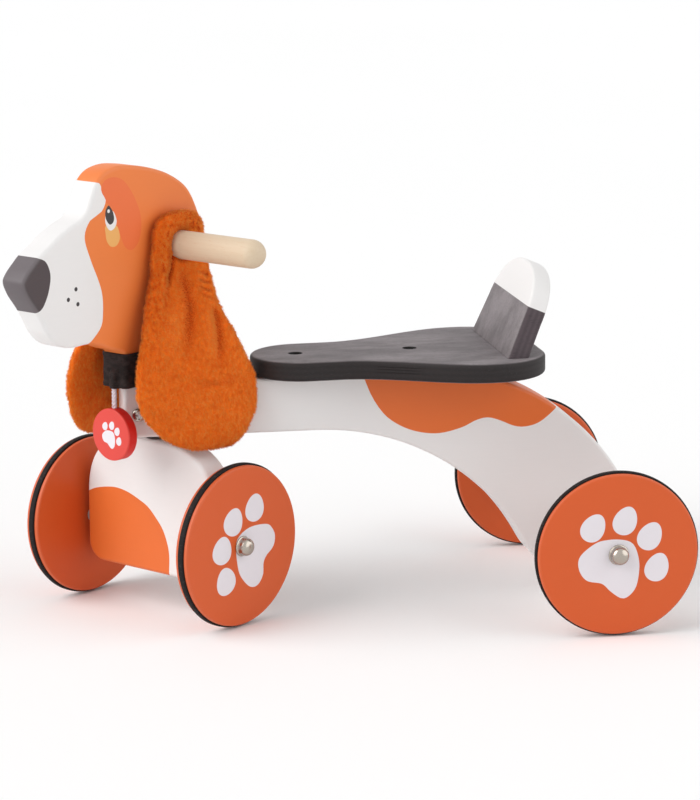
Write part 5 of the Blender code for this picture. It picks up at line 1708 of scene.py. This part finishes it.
        soft = np.repeat(unit(normal * 0.72 + lean * 0.62), 4, 0)
        return Surface(points.reshape(-1, 3), faces.reshape(-1, 3).tolist(), marks), soft

    def build(self, place: Place, skin_material: Material,
              pile_material: Material) -> None:
        """Fill, fold and bore the skin, then grow the pile on it."""
        skin = self.filled(place)
        self.fold(skin, place)
        rod = np.array([(0, 0.06), (self.bore, 0.06), (self.bore, -0.06), (0, -0.06)])
        hole = Turning(rod, steps=48).surface().placed(place.moved(out=self.side * 0.03))
        cut(skin, [hole], sharp=80)
        finish_piece(skin, self.body, skin_material, (f"ear_{self.label}",))
        draw = np.random.default_rng(11 if self.side > 0 else 12)
        for batch in range(self.batches):
            surface, normals = self.pile(skin.data, place, draw)
            fibres = make_mesh(f"ear_{self.label}_pile_{batch + 1}", surface)
            fibres.data.shade_smooth()
            fibres.data.normals_split_custom_set_from_vertices(normals.tolist())
            finish_piece(fibres, self.body, pile_material)


@dataclass
class Wheel:
    """A painted disc, its tyre in a groove and the cap on its axle's end."""

    end: str
    side: str
    body: Body
    carrier: Body
    place: Place
    paw: PawPrint
    tyre_radius: float = 0.0694
    tyre_depth: float = 0.0042
    tyre_half: float = 0.0027
    rim: float = 0.0678
    half: float = WHEEL_HALF
    hub: float = 0.0068
    cap_radius: float = 0.0075
    cap_wall: float = 0.0042
    cap_height: float = 0.0095
    flange_radius: float = 0.0086
    flange_height: float = 0.0008

    def disc(self) -> Array:
        """Section of the disc: eased rims, a groove for the tyre and a bore for the bush."""
        floor, lip = self.tyre_radius - self.tyre_depth - GAP, self.tyre_half + GAP
        corners = [(self.hub, self.half), (self.rim, self.half), (self.rim, lip), (floor, lip),
                   (floor, -lip), (self.rim, -lip), (self.rim, -self.half), (self.hub, -self.half)]
        cuts = [(0.0004,) * 2, (0.0022, 0.0014), *[(0.0001,) * 2] * 4, (0.0014, 0.0022), (0.0004,) * 2]
        return eased(corners, cuts, 6)

    def tyre(self) -> Array:
        """Section of the tyre: flat sides and a slightly crowned, eased tread."""
        inner, crown = self.tyre_radius - self.tyre_depth, self.tyre_radius - 0.00015
        corners = [(inner, self.tyre_half), (crown, self.tyre_half), (self.tyre_radius, 0.0012),
                   (self.tyre_radius, -0.0012), (crown, -self.tyre_half), (inner, -self.tyre_half)]
        cuts = [(0.0003,) * 2, (0.0009,) * 2, (0.0008,) * 2, (0.0008,) * 2, (0.0009,) * 2, (0.0003,) * 2]
        return eased(corners, cuts, 5)

    def cap(self) -> Array:
        """Section of the cap: a dome with a flat top over a short wall, and a thin flange."""
        angle = np.linspace(math.pi / 2, 0, 18)
        top = columns_of(self.cap_radius * np.cos(angle) ** 0.86,
                         self.cap_wall + (self.cap_height - self.cap_wall) * np.sin(angle) ** 0.92)
        top[0, 0] = 0
        foot = self.flange_height
        rest = [(self.cap_radius, foot + 0.0004), (self.cap_radius + 0.0003, foot + 0.0001),
                (self.flange_radius - 0.0003, foot), (self.flange_radius, foot - 0.0003),
                (self.flange_radius, 0.0), (0.0, 0.0)]
        return np.concatenate([top, rest])

    def build(self, rubber: Material, nickel: Material) -> None:
        """Make the disc, the tyre and the cap."""
        label = f"{self.end}_{self.side}"
        paint = PrintedPaint(f"wheel_paint_{label}", self.place, self.paw, Shade.ORANGE, self.half - 0.0003)
        disc = Turning(self.disc(), closed=True, steps=192).surface()
        # Paler paint on the outer rim's rounding: partly a thinner film, partly a painted highlight.
        disc.marks["wear"] = np.clip((np.hypot(*disc.points.T[:2]) - self.rim) / 0.0022 + 1, 0, 1)
        tyre = Turning(self.tyre(), closed=True, steps=192).surface()
        cap = Turning(self.cap(), steps=64).surface()
        outside = self.place.moved(out=self.half + GAP)
        for kind, surface, place, body, material, slot, node in (
                ("disc", disc, self.place, self.body, paint.material(), "orange_paint", "wheel"),
                ("tyre", tyre, self.place, self.body, rubber, "black_rubber", "tyre"),
                ("cap", cap, outside, self.carrier, nickel, "nickel", "axle_cap")):
            make_piece(f"{kind}_{label}", surface.placed(place), body, material,
                       (f"{self.end}_{node}_{self.side}",), sharp=50)


@dataclass
class Hardware:
    """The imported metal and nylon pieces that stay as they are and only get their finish."""

    steel: tuple[str, ...] = (
        "rear_axle", "rear_washer_left", "rear_washer_right", "tail_screw_left", "tail_screw_right",
        "cross_bolt", "cross_bolt_nut", "steering_post", "post_pin_lower", "post_pin_upper", "front_axle",
        "front_spacer_left", "front_spacer_right")
    # Painted shade: the thrust washers are dark, standing for the shade in the gap between beam and block.
    dark: tuple[str, ...] = ("thrust_washer_lower", "thrust_washer_upper")
    # Painted shade: the seat screws take the same near black as the holes they sit in.
    black: tuple[str, ...] = ("seat_screw_front", "seat_screw_rear")
    nylon: tuple[str, ...] = (
        "steering_bearing_upper", "steering_bearing_lower", "front_hub_bush_left",
        "front_hub_bush_right", "rear_hub_bush_left", "rear_hub_bush_right")

    def build(self) -> None:
        """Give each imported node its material."""
        for names, finish in ((self.steel, Metal("zinc", Shade.ZINC, 0.30, (900.0, 900.0, 120.0))),
                              (self.dark, Metal("zinc_painted_shade", Shade.ZINC_SHADE, 0.5)),
                              (self.black, Metal("screw_hole_shade", Shade.HOLE_SHADE, 0.6)),
                              (self.nylon, Nylon("nylon"))):
            material = finish.material()
            for name in names:
                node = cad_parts[name]
                node.data.materials.clear()
                node.data.materials.append(material)
            LOG.info("%d packed nodes dressed in %s", len(names), material.name)


@dataclass
class Studio:
    """Camera, pale floor, soft lamps and a white surround."""

    camera_place: Triple = (-0.4416, -2.4719, 0.7055)
    camera_turn: Triple = (78.09, 0.07, -10.53)
    lens: float = 135.27
    sensor: float = 36.0
    floor_size: float = 40.0
    surround: float = 0.52
    lamps: tuple[tuple[str, Triple, float, float], ...] = (
        ("key", (-0.85, -0.15, 0.62), 2.12, 55.0),
        ("fill", (0.85, -0.42, 0.33), 1.10, 70.0))

    def camera(self) -> None:
        """The camera that saw the toy."""
        data = bpy.data.cameras.new("camera")
        data.sensor_width, data.lens = self.sensor, self.lens
        item = bpy.data.objects.new("camera", data)
        item.location = self.camera_place
        item.rotation_euler = Euler([math.radians(a) for a in self.camera_turn])
        bpy.context.scene.collection.objects.link(item)
        bpy.context.scene.camera = item

    def floor(self) -> None:
        """A wide pale floor, sampled as a small grid."""
        side = np.linspace(-self.floor_size / 2, self.floor_size / 2, 9)
        x, y = np.meshgrid(side, side, indexing="ij")
        points = columns_of(x, y, 0.0).reshape(-1, 3)
        faces = [face[::-1] for face in grid_faces(9, 9, False, False)]
        item = make_mesh("floor", Surface(points, faces))
        recipe = Recipe("floor_white")
        cloud = recipe.noise(0.7, 2.0)
        recipe.surface(recipe.scaled(tone(251, 251, 251), 0.99 + cloud * 0.02), 0.9, others={SPECULAR: 0.0})
        item.data.materials.append(recipe.material)

    def light(self) -> None:
        """Soft suns, and a world that is white where it is seen and dimmer where it lights."""
        for name, towards, strength, angle in self.lamps:
            data = bpy.data.lights.new(name, "SUN")
            data.energy, data.angle = strength, math.radians(angle)
            item = bpy.data.objects.new(name, data)
            bpy.context.scene.collection.objects.link(item)
            direction = np.array(towards) / np.linalg.norm(towards)
            tilt, heading = math.acos(direction[2]), math.atan2(direction[1], direction[0])
            item.rotation_euler = Euler((0, tilt, heading))
        world = bpy.data.worlds.new("surround")
        bpy.context.scene.world = world
        world.use_nodes = True
        tree = world.node_tree
        back = tree.nodes["Background"]
        back.inputs["Color"].default_value = (1, 1, 1, 1)
        path = tree.nodes.new("ShaderNodeLightPath")
        seen = path.outputs["Is Camera Ray"]
        for ray in ("Is Glossy Ray", "Is Transmission Ray"):
            most = tree.nodes.new("ShaderNodeMath")
            most.operation = "MAXIMUM"
            tree.links.new(seen, most.inputs[0])
            tree.links.new(path.outputs[ray], most.inputs[1])
            seen = most.outputs[0]
        level = tree.nodes.new("ShaderNodeMapRange")
        level.inputs["To Min"].default_value = self.surround
        level.inputs["To Max"].default_value = 1.0
        tree.links.new(seen, level.inputs["Value"])
        tree.links.new(level.outputs["Result"], back.inputs["Strength"])

    def build(self) -> None:
        """Set up the whole studio."""
        self.camera()
        self.floor()
        self.light()
        bpy.context.scene.view_settings.view_transform = "Standard"


def build_wheels() -> None:
    """All four wheels, each with its own print but shared rubber and nickel."""
    rubber, nickel = Rubber("rubber").material(), Metal("nickel", Shade.NICKEL, 0.13).material()
    bodies = {("front", 1): Body.FRONT_LEFT, ("front", -1): Body.FRONT_RIGHT,
              ("rear", 1): Body.REAR_LEFT, ("rear", -1): Body.REAR_RIGHT}
    for (end, sign), body in bodies.items():
        base, along = (STEERED, 0.0) if end == "front" else (CHASSIS, WHEELBASE)
        centre = base.moved(along, AXLE_HEIGHT, sign * (FACE_REACH[end] - WHEEL_HALF))
        place = Place(centre.origin, centre.x, centre.y, tuple(sign * a for a in centre.out))
        carrier, paw = (Body.STEERING, FRONT_PAW) if end == "front" else (Body.CHASSIS, REAR_PAW)
        Wheel(end, "left" if sign > 0 else "right", body, carrier, place, paw).build(rubber, nickel)


def build_ears() -> None:
    """Both ears; the right one hangs further ahead and closer to the head."""
    head = Head()
    hang = STEERED.moved(head.handle_ahead, head.handle_height)
    skin, fibres = Plush("plush").material(), PileFinish("pile").material()
    Ear(1, Body.LEFT_EAR).build(hang, skin, fibres)
    right = Ear(-1, Body.RIGHT_EAR, swing=0.095, out_shift=0.0090, flare=0.50, front_ease=-0.0002)
    right.build(hang, skin, fibres)


def main() -> None:
    """Build the studio and the toy."""
    logging.basicConfig(level=logging.INFO, format="%(name)s: %(message)s")
    Studio().build()
    TagOnCord().build()
    Beam().build()
    Seat().build()
    Head().build()
    Collar().build()
    build_ears()
    build_wheels()
    Hardware().build()


if __name__ == "__main__":
    main()
